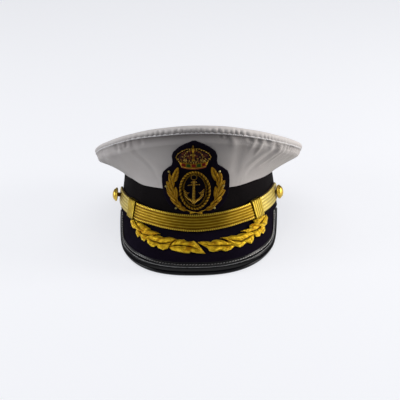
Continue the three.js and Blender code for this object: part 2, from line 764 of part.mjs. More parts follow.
// Laurel sprays: slender leaves on a curved stem, each from its foot to its tip, with berries
const SPRAY_STEM = [[2.5, 13.4], [9, 15.2], [16.5, 20.8], [22.4, 29.6], [25, 39.6], [24, 49]];
const SPRAY_LEAVES = [
  { foot: [9.5, 15.8], tip: [20.6, 21.6], halfWidth: 2 },
  { foot: [15, 21.4], tip: [28, 29], halfWidth: 2.3 },
  { foot: [19.5, 27.4], tip: [31.2, 38], halfWidth: 2.4 },
  { foot: [22.4, 32.4], tip: [31, 48.6], halfWidth: 2.4 },
  { foot: [24, 42], tip: [28, 57.4], halfWidth: 2.4 },
  { foot: [24.4, 47.4], tip: [17, 63.6], halfWidth: 2.8 },
  { foot: [21, 27.6], tip: [21.2, 40.4], halfWidth: 1.7 },
];
const BERRIES = [
  { from: [27.4, 56], at: [28.6, 60] },
  { from: [29.4, 36.6], at: [31.4, 41.4] },
  { from: [18, 20.4], at: [21.4, 18] },
];

function sprayBody(side) {
  const mirrored = ([x, height]) => [side * x, height];
  const parts = [badgeCord(SPRAY_STEM.map(mirrored), 1.2, BADGE.relief * 0.8)];
  for (const { foot, tip, halfWidth } of SPRAY_LEAVES) {
    const path = [0, 0.5, 1].map((share) => mirrored([
      lerp(foot[0], tip[0], share), lerp(foot[1], tip[1], share)]));
    parts.push(badgeCord(path, halfWidth, BADGE.relief, [0.3, 1, 0.1], LEAF_SECTION));
  }
  for (const { from, at } of BERRIES) {
    parts.push(badgeBead(...mirrored(at), 1.8));
    parts.push(badgeCord([mirrored(from), mirrored(at)], 0.6, BADGE.relief * 0.5));
  }
  return fused(parts);
}

// Colours and finishes
const FINISH = {
  cotton: { color: 0xdcdbe0, roughness: 0.6, metalness: 0 },
  wool: { color: 0x121116, roughness: 0.95, metalness: 0 },
  felt: { color: 0x17141f, roughness: 0.9, metalness: 0 },
  leather: { color: 0x0c0c0e, roughness: 0.25, metalness: 0 },
  lace: { color: 0xc79b2e, roughness: 0.45, metalness: 0.4 },
  paleLace: { color: 0xd6b45a, roughness: 0.5, metalness: 0.35 },
  bullion: { color: 0xd9a726, roughness: 0.35, metalness: 0.7 },
  gilt: { color: 0xd2a23a, roughness: 0.25, metalness: 1 },
};

const cap = new THREE.Group();

function addPiece(name, geometry, finish) {
  const mesh = new THREE.Mesh(geometry, new THREE.MeshStandardMaterial(FINISH[finish]));
  mesh.name = name;
  cap.add(mesh);
  return mesh;
}

addPiece("band", bandBody(), "wool");
addPiece("crown_side", sideBody(), "cotton");
addPiece("crown_top", topBody(), "cotton");
addPiece("peak", peakBody(), "felt");
addPiece("peak_binding", bindingBody(), "leather");
addPiece("strap_front", frontStrapBody(), "lace");
for (const side of ["left", "right"]) {
  addPiece(`peak_leaves_${side}`, branchBody(LEAVES[side]), "bullion");
  addPiece(`strap_end_${side}`, strapEndBody(side), "paleLace");
  addPiece(`keeper_${side}`, keeperBody(KEEPER[side]), "paleLace");
  const button = addPiece(`button_${side}`, buttonBody(), "gilt");
  button.position.copy(buttonSeat(side).origin);
  button.quaternion.copy(buttonSeat(side).turn);
  addPiece(`badge_wreath_${side}`, sprayBody(side === "left" ? -1 : 1), "bullion");
}
addPiece("badge_patch", patchBody(), "felt");
addPiece("badge_crown", badgeCrownBody(), "bullion");
addPiece("badge_rope_ring", ropeRingBody(), "bullion");
addPiece("badge_anchor", anchorBody(), "bullion");

// Tip the cap back onto its peak, then stand it on the ground with its box centred on the origin
cap.rotation.x = -Math.atan(GROUND_SLOPE);
const box = new THREE.Box3().setFromObject(cap, true);
const middle = box.getCenter(point(0, 0, 0));
cap.position.set(-middle.x, -middle.y, -box.min.z);

export default cap;
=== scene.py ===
import math

import bpy
import numpy as np
from mathutils import Matrix


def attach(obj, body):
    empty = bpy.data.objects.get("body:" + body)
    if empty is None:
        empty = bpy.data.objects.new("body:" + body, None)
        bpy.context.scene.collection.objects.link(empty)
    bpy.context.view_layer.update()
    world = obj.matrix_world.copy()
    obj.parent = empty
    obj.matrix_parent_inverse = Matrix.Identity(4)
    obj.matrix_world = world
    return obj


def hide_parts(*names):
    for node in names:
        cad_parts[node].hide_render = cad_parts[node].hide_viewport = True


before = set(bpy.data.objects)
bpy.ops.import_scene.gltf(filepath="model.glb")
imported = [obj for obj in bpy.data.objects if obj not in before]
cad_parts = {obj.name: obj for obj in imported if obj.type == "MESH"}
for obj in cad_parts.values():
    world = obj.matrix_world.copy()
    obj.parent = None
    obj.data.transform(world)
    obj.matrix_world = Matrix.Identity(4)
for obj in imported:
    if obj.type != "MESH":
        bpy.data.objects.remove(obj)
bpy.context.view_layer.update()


# Head band: a stiff card ring covered in black wool cloth, joined at the back and open above and
# below. The crown, the peak and the badge are all sewn to it.

# The cap is measured upright on this band, in millimetres, with angles from the front towards the
# viewer's right. standing() then tips every point back, as the cap lies on its peak.
TILT = math.radians(11.2595)
STAND = (-0.7, 6.0417, 19.7437)
BAND_HEIGHT = 37.0
BAND_FRONT = 101.0


def standing(points):
    x, y, z = np.moveaxis(np.asarray(points, float), -1, 0)
    lean, rise = math.cos(TILT), math.sin(TILT)
    tipped = [x + STAND[0], y * lean + z * rise + STAND[1], z * lean - y * rise + STAND[2]]
    return np.stack(tipped, -1) / 1000


def points_of(x, y, z):
    return np.stack(np.broadcast_arrays(x, y, z), -1)


def unit(vectors):
    return vectors / (np.linalg.norm(vectors, axis=-1, keepdims=True) + 1e-12)


def band_point(angle, height, out=0.0):
    share = height / BAND_HEIGHT
    half_width = 90.5 - 4.9 * share + out
    half_length = BAND_FRONT - 3.0 * share + out
    x = half_width * np.sin(angle) * (1 - 0.03 * np.cos(angle))
    return points_of(x, -half_length * np.cos(angle), height)


def smooth_step(value, low, high):
    share = np.clip((value - low) / (high - low), 0, 1)
    return share * share * (3 - 2 * share)


def degrees_of(angle):
    return np.degrees(np.arctan2(np.sin(angle), np.cos(angle)))


def band_top(angle):
    """The band's upper edge rises to the sides, most of all on the viewer's left."""
    degrees = degrees_of(angle)
    left = 3.2 - 1.6 * smooth_step(-degrees, 70, 120)
    right = 1.9 - 0.3 * smooth_step(degrees, 70, 120)
    rise = left * smooth_step(-degrees, 41, 60) + right * smooth_step(degrees, 30, 52)
    return BAND_HEIGHT + 2.2 * np.sin(angle) ** 2 + rise


def round_cap(share):
    """The angle at a share of the way round the cap, from the middle of its back."""
    return 2 * np.pi * (share - 0.5)


def picked(piece):
    """Selects one piece alone."""
    bpy.ops.object.select_all(action="DESELECT")
    piece.select_set(True)
    bpy.context.view_layer.objects.active = piece


def edited(piece, *steps):
    """Runs edit mode operators on the whole of one piece."""
    picked(piece)
    bpy.ops.object.mode_set(mode="EDIT")
    for step in steps:
        bpy.ops.mesh.select_all(action="SELECT")
        step()
    bpy.ops.object.mode_set(mode="OBJECT")
    return piece


def merge_doubles():
    bpy.ops.mesh.remove_doubles(threshold=1e-6)


def fill_ends():
    bpy.ops.mesh.fill_holes(sides=0)


def face_outwards():
    bpy.ops.mesh.normals_make_consistent(inside=False)


def thickened(piece, wall, offset):
    """Gives a sheet its wall, in millimetres."""
    picked(piece)
    modifier = piece.modifiers.new("Wall", "SOLIDIFY")
    modifier.thickness, modifier.offset = wall / 1000, offset
    bpy.ops.object.modifier_apply(modifier=modifier.name)
    return piece


def smooth(piece, degrees=40):
    picked(piece)
    bpy.ops.object.shade_smooth_by_angle(angle=math.radians(degrees))
    return piece


def named(name):
    """Names the primitive that was just added."""
    piece = bpy.context.object
    piece.name = piece.data.name = name
    return piece


def linked(name, data):
    piece = bpy.data.objects.new(name, data)
    bpy.context.scene.collection.objects.link(piece)
    return piece


def corners(piece):
    """A primitive's points as they were added, in x, y and z."""
    flat = np.empty(3 * len(piece.data.vertices))
    piece.data.vertices.foreach_get("co", flat)
    return flat.reshape(-1, 3).T


def laid_out(piece, spots):
    """Moves a piece's points to their places on the cap."""
    piece.data.vertices.foreach_set("co", standing(spots).ravel())
    piece.data.update()
    return piece


def keep(mesh, **measures):
    """Keeps numbers at a mesh's own points, for the finish to read."""
    for key, values in measures.items():
        mesh.attributes.new(key, "FLOAT", "POINT").data.foreach_set("value", np.ravel(values))


def laid_grid(name, along, across, place, length=1.0, width=1.0, measure=None):
    """A grid primitive laid on a surface: place(u, v) takes shares and gives millimetres. Its
    points keep how far along and across the piece they lie."""
    bpy.ops.mesh.primitive_grid_add(x_subdivisions=along, y_subdivisions=across, size=1)
    piece = named(name)
    u, v = corners(piece)[:2] + 0.5
    laid_out(piece, place(u, v))
    keep(piece.data, along=u * length, across=v * width if measure is None else measure(v))
    return piece


def lofted(name, along, section, place, length=1.0, ring=False):
    """A closed section carried along a piece; place(u, spots) takes the share along it and the
    section's points. An open bar gets its ends filled."""
    count = len(section)

    def spots(v):
        return section[np.rint(v * count).astype(int) % count]

    piece = laid_grid(
        name, along, count, lambda u, v: place(u, spots(v)), length,
        measure=lambda v: spots(v)[:, 0])
    return edited(piece, merge_doubles, *([] if ring else [fill_ends]), face_outwards)


class Wire:
    """An output of a material's node. Arithmetic on wires adds Math nodes."""

    def __init__(self, finish, socket):
        self.finish, self.socket = finish, socket

    def maths(self, operation, *values):
        return self.finish.node("ShaderNodeMath", {"operation": operation}, *values)

    def __add__(self, other):
        return self.maths("ADD", self, other)

    def __sub__(self, other):
        return self.maths("SUBTRACT", self, other)

    def __mul__(self, other):
        return self.maths("MULTIPLY", self, other)

    def __abs__(self):
        return self.maths("ABSOLUTE", self)

    __radd__ = __add__

    def wave(self, pitch, shift=0.0):
        """Swings between 0 and 1 once in every pitch."""
        return self.maths("SINE", self * (2 * math.pi / pitch) + shift) * 0.5 + 0.5

    def between(self, low, high):
        """0 at low, 1 at high, and smooth from one to the other."""
        return self.finish.node(
            "ShaderNodeMapRange", {"interpolation_type": "SMOOTHSTEP"}, self, low, high, 0.0, 1.0)


class Finish:
    """A material, made from its Principled shader's plain values and from nodes that vary them."""

    def __init__(self, name, color, **values):
        self.material = bpy.data.materials.new(name)
        self.material.use_nodes = True
        self.tree = self.material.node_tree
        self.shader = self.tree.nodes["Principled BSDF"]
        self.shader.inputs["Base Color"].default_value = (*color, 1)
        for socket, value in values.items():
            socket = socket.replace("_", " ").title().replace("Ior", "IOR")
            self.shader.inputs[socket].default_value = value

    def node(self, kind, settings, *values, output=0, **named):
        node = self.tree.nodes.new(kind)
        for name, value in settings.items():
            setattr(node, name, value)
        for place, value in [*enumerate(values), *named.items()]:
            self.feed(node.inputs[place], value)
        return Wire(self, node.outputs[output])

    def feed(self, socket, value):
        if isinstance(value, Wire):
            self.tree.links.new(value.socket, socket)
        else:
            socket.default_value = value

    def vary(self, socket, value):
        self.feed(self.shader.inputs[socket], value)

    def mix(self, share, one, other):
        """Mixes two colours."""
        node = self.tree.nodes.new("ShaderNodeMix")
        node.data_type = "RGBA"
        self.feed(node.inputs[0], share)
        for place, color in (6, one), (7, other):
            self.feed(node.inputs[place], color if isinstance(color, Wire) else (*color, 1))
        return Wire(self, node.outputs[2])

    def colored(self, share, one, other):
        self.vary("Base Color", self.mix(share, one, other))

    def noise(self, scale, detail=2.0, roughness=0.5):
        where = self.node("ShaderNodeTexCoord", {}, output="Object")
        return self.node("ShaderNodeTexNoise", {}, Vector=where, Scale=scale, Detail=detail,
                         Roughness=roughness)

    def own(self, attribute):
        """A number that is kept at the piece's own points."""
        return self.node("ShaderNodeAttribute", {"attribute_name": attribute}, output="Fac")

    def bump(self, height, depth):
        """Depth in millimetres."""
        self.vary("Normal", self.node("ShaderNodeBump", {}, Distance=depth / 1000, Height=height))

    def twisted(self, pitch, depth):
        """Shows the turns of a thread, which are a pitch apart in millimetres."""
        self.bump(self.own("along").wave(pitch), depth)

    def on(self, piece):
        piece.data.materials.clear()
        piece.data.materials.append(self.material)


def placed(piece, finish, slot, *nodes):
    """Gives a piece its finish and fixes it to the cap, in place of the solids named."""
    finish.on(piece)
    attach(piece, "root")
    if nodes:
        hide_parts(*nodes)


wool = Finish("black_wool", (0.006, 0.005, 0.006), roughness=0.9, sheen_weight=0.015,
              sheen_roughness=0.5, specular_ior_level=0.08)
fuzz = wool.noise(900, detail=4)
cloudy = wool.noise(60)
wool.colored(
    (fuzz * 0.6 + cloudy * 0.4).between(0.3, 0.75), (0.002, 0.001, 0.0015), (0.007, 0.005, 0.006))
wool.bump(fuzz, 0.25)

# Outwards and upwards, once round the wall from the foot of its outer face
band_section = np.array(
    [(0.15, 0.0), (0.0, 0.5)]
    + [(0.0, z) for z in np.linspace(2, 34, 9)]
    + [(0.0, 36.5), (-0.3, 37.0), (-2.7, 37.0), (-3.0, 36.5)]
    + [(-3.0, z) for z in np.linspace(34, 2, 5)]
    + [(-3.0, 0.4), (-2.6, 0.0), (-0.6, 0.0)]
)


def on_band(u, spot):
    angle = round_cap(u)
    height = spot[:, 1] * band_top(angle) / BAND_HEIGHT
    return band_point(angle, height, spot[:, 0])


band = lofted("head_band", 288, band_section, on_band, 600, ring=True)
placed(smooth(band), wool, "band", "band")


# Sweatband: thin dark leather glued inside the band, its lower edge turned and stitched down and
# its upper edge lying loose against the wool.
leather_lining = Finish("sweatband_leather", (0.045, 0.022, 0.012), roughness=0.5)
grain = leather_lining.noise(700, detail=3)
leather_lining.colored(grain, (0.03, 0.014, 0.008), (0.07, 0.036, 0.02))
leather_lining.bump(grain, 0.15)


def on_sweatband(u, v):
    angle = round_cap(u)
    height = 1.2 + 30 * v
    turned = 0.5 * np.exp(-((height - 2.4) / 1.2) ** 2)
    return band_point(angle, height, -3.6 - turned - 0.5 * v)


sweatband = laid_grid("sweatband", 200, 24, on_sweatband, 560, 30)
edited(sweatband, merge_doubles)
placed(smooth(thickened(sweatband, 0.9, 0)), leather_lining, "peak_binding")


# Crown's side wall: white cotton, sewn to the top's rolled rim and drawn down over the band,
# with puckers below the seam and long soft folds.
CROWN = {"right": 0.7, "back": 3, "half_width": 117.9, "half_length": 123}
SEAM_INSET = 0.5
CORNER = {"inset": 3.0, "drop": 16.0}


def crown_height(angle, radius=1.0):
    """The crown stands highest at the front, and is bent a little like a saddle."""
    tilt = 25.6 * radius * np.cos(angle) + 1.3 * radius * np.sin(angle)
    saddle = 6.45 * radius**2 * np.cos(2 * angle)
    return 76.1 + tilt + saddle + 0.7 * radius**3 * np.cos(3 * angle)


def seam_drop(angle):
    """How far the seam lies under the rim; least at the front of the viewer's left side."""
    degrees = degrees_of(angle)
    return 6.9 - 1.7 * smooth_step(-degrees, 12, 36) * (1 - smooth_step(-degrees, 62, 84))


def crown_outline(angle, inset, radius=1.0):
    x = CROWN["right"] + (CROWN["half_width"] - inset) * radius * np.sin(angle)
    y = CROWN["back"] - (CROWN["half_length"] - inset) * radius * np.cos(angle)
    return x, y


def crown_edge(angle, inset, drop):
    return points_of(*crown_outline(angle, inset), crown_height(angle) - drop)


def plain_side(angle, height):
    """Height 0 is the hem, 1 the soft corner under the rolled rim and 2 the seam."""
    def straight(h):
        hem = band_point(angle, band_top(angle) + 0.3, 0.6)
        corner = crown_edge(angle, **CORNER)
        seam = crown_edge(angle, SEAM_INSET, seam_drop(angle))
        h = np.asarray(h)[..., None]
        return np.where(h < 1, hem + (corner - hem) * h, corner + (seam - corner) * (h - 1))

    softness = np.clip(height, 0, 0.18)
    return sum(straight(height + k * softness) for k in (-1, -0.5, 0, 0.5, 1)) / 5


def raised(surface, u, v, lift, step=1e-3):
    """A surface moved out along the way that it faces."""
    along = surface(u + step, v) - surface(u - step, v)
    across = surface(u, v + step) - surface(u, v - step)
    return surface(u, v) + unit(np.cross(along, across)) * np.asarray(lift)[..., None]


# Each fold: the angle and height of the places that it passes on its way down, then its half
# width in degrees and how far it stands out, or lies in where that is below zero
FOLDS = [
    ([(13.9, 1.95), (13.9, 1.45)], 0.9, -0.6),
    ([(15.5, 1.95), (15.4, 1.4)], 0.8, 0.5),
    ([(17.2, 1.95), (17.2, 1.45)], 0.9, -0.7),
    ([(19.5, 1.9), (20.2, 1.5), (22, 0.9)], 2.0, 0.65),
    ([(25.5, 1.7), (26, 1.1), (27.2, 0.7), (28.6, 0.2)], 3.4, -0.5),
    ([(33.6, 1.95), (33.2, 1.4), (32.5, 0.9)], 1.3, 0.8),
    ([(30.5, 1.95), (30.6, 1.3)], 1.4, -0.8),
    ([(38.8, 1.95), (38.4, 1.4), (37.5, 0.8)], 1.3, 1.1),
    ([(36.3, 1.95), (36, 1.3)], 1.2, -0.8),
    ([(46, 1.95), (45.5, 1.0), (41.6, 0.73), (36.7, 0.45)], 1.8, 1.0),
    ([(42.6, 1.95), (42, 1.3)], 1.4, -0.9),
    ([(49.6, 1.4), (49.4, 0.9), (46, 0.62), (39.1, 0.3)], 1.9, -0.9),
    ([(52.3, 1.95), (52.8, 0.97), (50.4, 0.72), (45.2, 0.45)], 1.7, 0.9),
    ([(50.0, 1.95), (49.9, 1.5)], 1.0, 0.7),
    ([(56.7, 1.95), (56.2, 1.0), (53.3, 0.6)], 1.4, 0.8),
    ([(60.1, 1.95), (60, 1.3)], 1.0, 0.6),
    ([(62.5, 1.95), (62, 1.2)], 1.3, -0.8),
    ([(-44.4, 1.95), (-44, 1.2)], 1.2, 0.9),
    ([(-47.9, 1.95), (-47, 1.1)], 1.5, -1.2),
    ([(-41.2, 1.95), (-41, 1.3)], 1.0, 0.6),
    ([(-39.5, 1.95), (-39, 1.3)], 1.0, -0.6),
    ([(-36.8, 1.95), (-36.5, 1.2)], 1.0, 0.5),
    ([(-35.5, 1.9), (-34.7, 0.85), (-31.2, 0.6), (-25.8, 0.15)], 2.2, -0.55),
    ([(-37.1, 0.9), (-31, 0.45), (-24.7, 0.2)], 2.4, 0.5),
    ([(-29.3, 1.95), (-29, 1.2)], 1.2, -0.5),
]
# Round the sides and the back the puckers are much alike, so these are strewn from a fixed seed
strewn = np.random.default_rng(11)
for middle in np.concatenate([np.arange(68, 180, 7.5), -np.arange(56, 178, 7.5)]):
    start = middle + strewn.uniform(-2, 2)
    end_height = strewn.uniform(0.5, 1.4)
    end = start - np.sign(start) * strewn.uniform(0, 5)
    half_width = strewn.uniform(1.1, 2.4)
    most = strewn.choice([-1, 1]) * strewn.uniform(0.4, 1.0)
    FOLDS.append(([(start, 1.95), (end, end_height)], half_width, most))


def fold_depth(angle, height):
    degrees = degrees_of(angle)
    depth = np.zeros_like(degrees)
    for way, half_width, most in FOLDS:
        heights = [h for _, h in way][::-1]
        middles = [a for a, _ in way][::-1]
        away = (degrees - np.interp(height, heights, middles)) / half_width
        fade = smooth_step(height, heights[0] - 0.15, heights[0] + 0.25)
        fade = fade * (1 - 0.45 * smooth_step(height, 1.6, 2.0))
        if heights[-1] < 1.8:
            fade = fade * (1 - smooth_step(height, heights[-1] - 0.2, heights[-1] + 0.3))
        depth += most * fade * np.exp(-np.abs(away) ** 2.2)
    return depth


def even_ripple(angle, seed, waves):
    """A gentle unevenness that closes on itself round the cap."""
    chance = np.random.default_rng(seed)
    return sum(
        chance.uniform(0.4, 1) * np.sin(w * angle + chance.uniform(0, 2 * np.pi)) for w in waves
    ) / len(waves)


def on_side(u, v):
    angle = round_cap(u)
    height = 2 * v**0.9
    slack = 0.5 * even_ripple(angle, 3, (5, 8, 13)) * np.sin(np.pi * v)
    sweep = -3.0 * np.sin(np.pi * np.clip(height, 0, 1)) * np.clip(np.cos(angle), 0, 1) ** 1.5
    lift = 1.35 * fold_depth(angle, height) + slack + sweep
    crimps = 0.16 * even_ripple(angle, 5, (96, 113, 131)) * np.exp(-((height - 0.06) / 0.07) ** 2)
    bead = 0.55 * np.exp(-((height - 0.03) / 0.035) ** 2)
    turned_in = 0.7 * np.exp(-((height - 1.88) / 0.1) ** 2)
    return raised(plain_side, angle, height, lift + crimps + bead + turned_in)


cotton = Finish("white_cotton", (0.70, 0.67, 0.665), roughness=0.8, sheen_weight=0.15,
                sheen_roughness=0.4, specular_ior_level=0.3)
warp, weft = cotton.own("along"), cotton.own("across")
twill = (warp + weft).wave(0.9) * 0.5 + warp.wave(0.6) * 0.25 + weft.wave(0.6) * 0.25
mottle = cotton.noise(45, detail=3)
clean = cotton.mix(
    (mottle * 0.8 + twill * 0.2).between(0.25, 0.75), (0.70, 0.657, 0.643), (0.755, 0.717, 0.703))
# Painted shade greys the cloth that lies close to the seam
cotton.colored(cotton.own("dust") * (0.8 + mottle * 0.4), clean, (0.28, 0.25, 0.245))
cotton.vary("Roughness", 0.72 + twill * 0.15)
cotton.bump(twill * 0.5 + mottle * 0.5, 0.12)


def dust(piece, length, width, low, high, least, spread):
    """Painted shade near the seam, strongest at the front of the cap."""
    values = {}
    for key in ("along", "across"):
        values[key] = np.empty(len(piece.data.vertices))
        piece.data.attributes[key].data.foreach_get("value", values[key])
    degrees = 360 * (values["along"] / length - 0.5)
    front = least + (1 - least) * np.exp(-((degrees + 5) / spread) ** 4)
    shade_share = front * smooth_step(values["across"] / width, low, high)
    keep(piece.data, dust=shade_share)


def cloth_piece(name, along, across, place, size, dusty, node):
    """One wall of the crown: size is the cloth's length and width in millimetres."""
    piece = laid_grid(name, along, across, place, *size)
    # Keeps the share of painted shade at each point, near the seam
    dust(piece, *size, *dusty)
    edited(piece, merge_doubles)
    placed(smooth(thickened(piece, 1.4, -1), 60), cotton, node, node)


cloth_piece("crown_side_cloth", 720, 56, on_side, (700, 62), (0.3, 0.95, 0.26, 40), "crown_side")


# Crown's top: one round of the same cotton pulled over the wire rim, eased down to the seam in
# small gathers, and slack enough in the middle to sag a little.

# Inset and share of the drop to the seam, from the seam up and over the rim
ROLL = np.array([
    (1.1, 1.0), (0.85, 0.94), (0.5, 0.86), (0.2, 0.76), (0.05, 0.66), (0.1, 0.56), (0.4, 0.46),
    (1.0, 0.36), (2.0, 0.27), (3.4, 0.2), (5.2, 0.16),
])
ROLL_END = 0.22


def plain_top(angle, v):
    row = np.clip(v / ROLL_END, -0.5, 1.0) * (len(ROLL) - 1)
    inset = np.interp(row, range(len(ROLL)), ROLL[:, 0])
    drop = np.interp(row, range(len(ROLL)), ROLL[:, 1])
    rim = crown_edge(angle, inset, drop * seam_drop(angle))
    radius = np.clip(1 - (v - ROLL_END) / (1 - ROLL_END), 0, 1)
    sag = ROLL[-1, 1] * seam_drop(angle) + 0.6 * (1 - radius**6)
    outline = crown_outline(angle, ROLL[-1, 0], radius)
    panel = points_of(*outline, crown_height(angle, radius) - sag)
    return np.where((v < ROLL_END)[..., None], rim, panel)


def gathers(angle):
    degrees = degrees_of(angle)
    front = np.exp(-(((degrees - 4) / 36) ** 4))
    beat = np.sin(angle * 124 + 2.4 * np.sin(7 * angle) + 1.3 * np.sin(17 * angle))
    swell = 0.65 + 0.35 * np.sin(angle * 29 + 2 * np.sin(5 * angle))
    return (beat - 0.6) * swell * (0.2 + 1.3 * front)


def on_top(u, v):
    angle = round_cap(u)
    v = 1 - v
    low_on_roll = np.exp(-((v / ROLL_END - 0.3) / 0.3) ** 2)
    lift = gathers(angle) * low_on_roll * smooth_step(v, 0, 0.02)
    wander = 0.35 * even_ripple(angle, 8, (7, 11, 17)) * smooth_step(v, 0.05, 0.3)
    rim = plain_top(angle, v)
    outwards = points_of(np.sin(angle), -np.cos(angle), 0.25)
    rim = rim + outwards * lift[..., None]
    rim[..., 2] += wander * (1 - smooth_step(v, 0.55, 1.0))
    return rim


cloth_piece("crown_top_cloth", 800, 61, on_top, (720, 130),
            (1 - 0.62 * ROLL_END, 1.0, 0.08, 31), "crown_top")


# Seam ridge: where the top is sewn to the side wall its edge is turned and stitched down with
# white thread, and stands out as a thin ridge. Its white is paler than the cotton's, partly the
# thread's own and partly a painted highlight along the ridge.
seam_section = np.array([
    (0.72 * math.cos(turn), 0.85 * math.sin(turn)) for turn in np.linspace(0, 2 * np.pi, 9)[:-1]
])


def on_seam(u, spot):
    angle = round_cap(u)
    edge = crown_edge(angle, SEAM_INSET - 0.5 - spot[:, 0], seam_drop(angle) + 0.3 - spot[:, 1])
    nips = 0.12 * np.sin(angle * 300)
    outwards = points_of(np.sin(angle), -np.cos(angle), 0)
    return edge + outwards * nips[..., None]


seam = lofted("crown_seam", 1440, seam_section, on_seam, 730, ring=True)
# White thread, made paler than the cotton as a painted highlight along the ridge
seam_thread_and_highlight = Finish("seam_thread_and_highlight", (0.93, 0.91, 0.92), roughness=0.6)
seam_thread_and_highlight.twisted(2.6, 0.18)
placed(smooth(seam, 60), seam_thread_and_highlight, "crown_side")


# Peak: stiff card covered with navy-black felt. It is sewn to the foot of the band, slopes down
# to its rim, and is a little rounded from side to side.
PEAK = {
    "thickness": 2.4, "bulge": 1.5, "right": 0.6, "half_width": 89.1, "reach": 139.6,
    "end_reach": 12.0, "roundness": 2.5, "drop": 47.9, "lift": 1.8, "lift_from": 63.5,
    "lift_power": 2.12, "ends_height": -2.5, "root": -0.3, "span": 87.0,
}
BEAD = PEAK["thickness"] / 2 + 0.3 + 0.9
GROUND_SLOPE = PEAK["drop"] / (BAND_FRONT + PEAK["reach"])


def ground_height(y):
    return -(BAND_FRONT - y) * GROUND_SLOPE


def peak_rim(angle):
    power = 2 / PEAK["roundness"]
    sine, cosine = np.sin(angle), np.abs(np.cos(angle))
    x = PEAK["right"] + np.sign(sine) * PEAK["half_width"] * np.abs(sine) ** power
    y = -(PEAK["end_reach"] + (PEAK["reach"] - PEAK["end_reach"]) * cosine**power)
    start = math.radians(PEAK["lift_from"])
    share = np.clip((np.abs(angle) - start) / (math.pi / 2 - start), 0, None) ** PEAK["lift_power"]
    lift = (PEAK["ends_height"] - ground_height(-PEAK["end_reach"])) * share
    return points_of(x, y, ground_height(y) + lift + PEAK["lift"] + peak_end_rise(angle))


def peak_end_rise(angle):
    """Each end turns up a little where it is sewn to the band under the strap."""
    return 5.0 * smooth_step(np.degrees(np.abs(angle)), 74, 87)


def peak_root(angle):
    degrees = np.degrees(np.abs(angle))
    share = np.clip((degrees - 62) / 28, 0, None)
    turned = degrees * 83.2 / 90 - 7 * 6.75 * share**2 * (1 - share)
    root = band_point(np.sign(angle) * np.radians(turned), 0.0)
    root[..., 2] = PEAK["root"] + peak_end_rise(angle)
    return root


def flat_peak(angle, share):
    root, rim = peak_root(angle), peak_rim(angle)
    return root + (rim - root) * np.asarray(share)[..., None]


def peak_point(angle, share, lift):
    swell = PEAK["bulge"] * 4 * share * (1 - share) * np.cos(angle)
    return raised(flat_peak, angle, share, -swell - lift)


def peak_width(angle):
    return np.linalg.norm(peak_rim(angle) - peak_root(angle), axis=-1)


felt = Finish("navy_felt", (0.004, 0.003, 0.007), roughness=0.95, sheen_weight=0.008,
              sheen_roughness=0.6, specular_ior_level=0.05)
nap = felt.noise(1100, detail=5, roughness=0.65)
drift = felt.noise(35)
felt.colored(
    (nap * 0.65 + drift * 0.35).between(0.3, 0.7), (0.002, 0.001, 0.004), (0.007, 0.004, 0.013))
felt.bump(nap, 0.3)


def on_felt(u, v):
    angle = np.radians(PEAK["span"]) * (2 * u - 1)
    tucked = 1.6 / peak_width(angle)
    return peak_point(angle, v * (1 - BEAD / peak_width(angle) + tucked) - tucked, 0 * u)


peak = laid_grid("peak_felt", 200, 36, on_felt)
placed(smooth(thickened(peak, PEAK["thickness"], 1)), felt, "peak", "peak")


# Binding: a strip of black patent leather folded round the peak's edge over a cord, creased
# beside it, and stitched through near its inner edge.
ARM = 11.0
# Inset from the cord's middle and height over the felt, on the upper face
UPPER_FACE = [
    (0.9, 1.1), (1.7, 0.85), (2.6, 0.55), (4.6, 0.5), (5.1, 0.62), (5.35, 1.0), (5.55, 1.0),
    (5.8, 0.62), (6.4, 0.48), (8.1, 0.46), (8.35, 0.34), (8.7, 0.34), (8.95, 0.46),
    (10.5, 0.5), (10.85, 0.62), (11.1, 0.5), (11.1, 0.06),
]
LOWER_FACE = [(11.1, -2.46), (11.0, -3.2), (6.0, -3.3), (0.6, -3.58)]
cord_turns = np.radians(np.linspace(262, 98, 18))
binding_section = np.array(
    [(BEAD * math.cos(t), -1.2 + BEAD * math.sin(t)) for t in cord_turns][::-1]
    + UPPER_FACE
    + LOWER_FACE
)


def on_binding(u, spot):
    angle = np.radians(PEAK["span"] + 0.2) * (2 * u - 1)
    width = peak_width(angle)
    reach = np.minimum(1, (width - BEAD - 4) / ARM)
    inwards = np.where(spot[:, 0] > 0, spot[:, 0] * reach, spot[:, 0])
    return peak_point(angle, 1 - (BEAD + inwards) / width, spot[:, 1])


patent = Finish("patent_leather", (0.004, 0.004, 0.005), roughness=0.2, specular_ior_level=0.18)
creases = patent.noise(160, detail=3)
fine = patent.noise(900)
inset = patent.own("across")
crease = inset.between(5.1, 5.35) * inset.between(5.8, 5.55)
# Painted highlight: the crease's ridge is pale grey, patchy along its length
crease_highlight = crease * (0.3 + creases * 1.3)
patent.colored(crease_highlight, (0.004, 0.004, 0.005), (0.42, 0.42, 0.43))
patent.vary("Roughness", 0.2 + creases * 0.2)
patent.bump(creases * 0.7 + fine * 0.3, 0.08)

binding = lofted("peak_binding_leather", 320, binding_section, on_binding, 340)
placed(smooth(binding, 50), patent, "peak_binding", "peak_binding")


# Stitches of the binding: pale waxed thread, one short slanted length after another, sewn by
# machine through the leather and the felt. The thread is palest at the right of the peak, greyer
# at the left and darkest over the front.
def run_along(line):
    """How far each point of a line lies from its start."""
    return np.concatenate([[0], np.cumsum(np.linalg.norm(np.diff(line, axis=0), axis=1))])


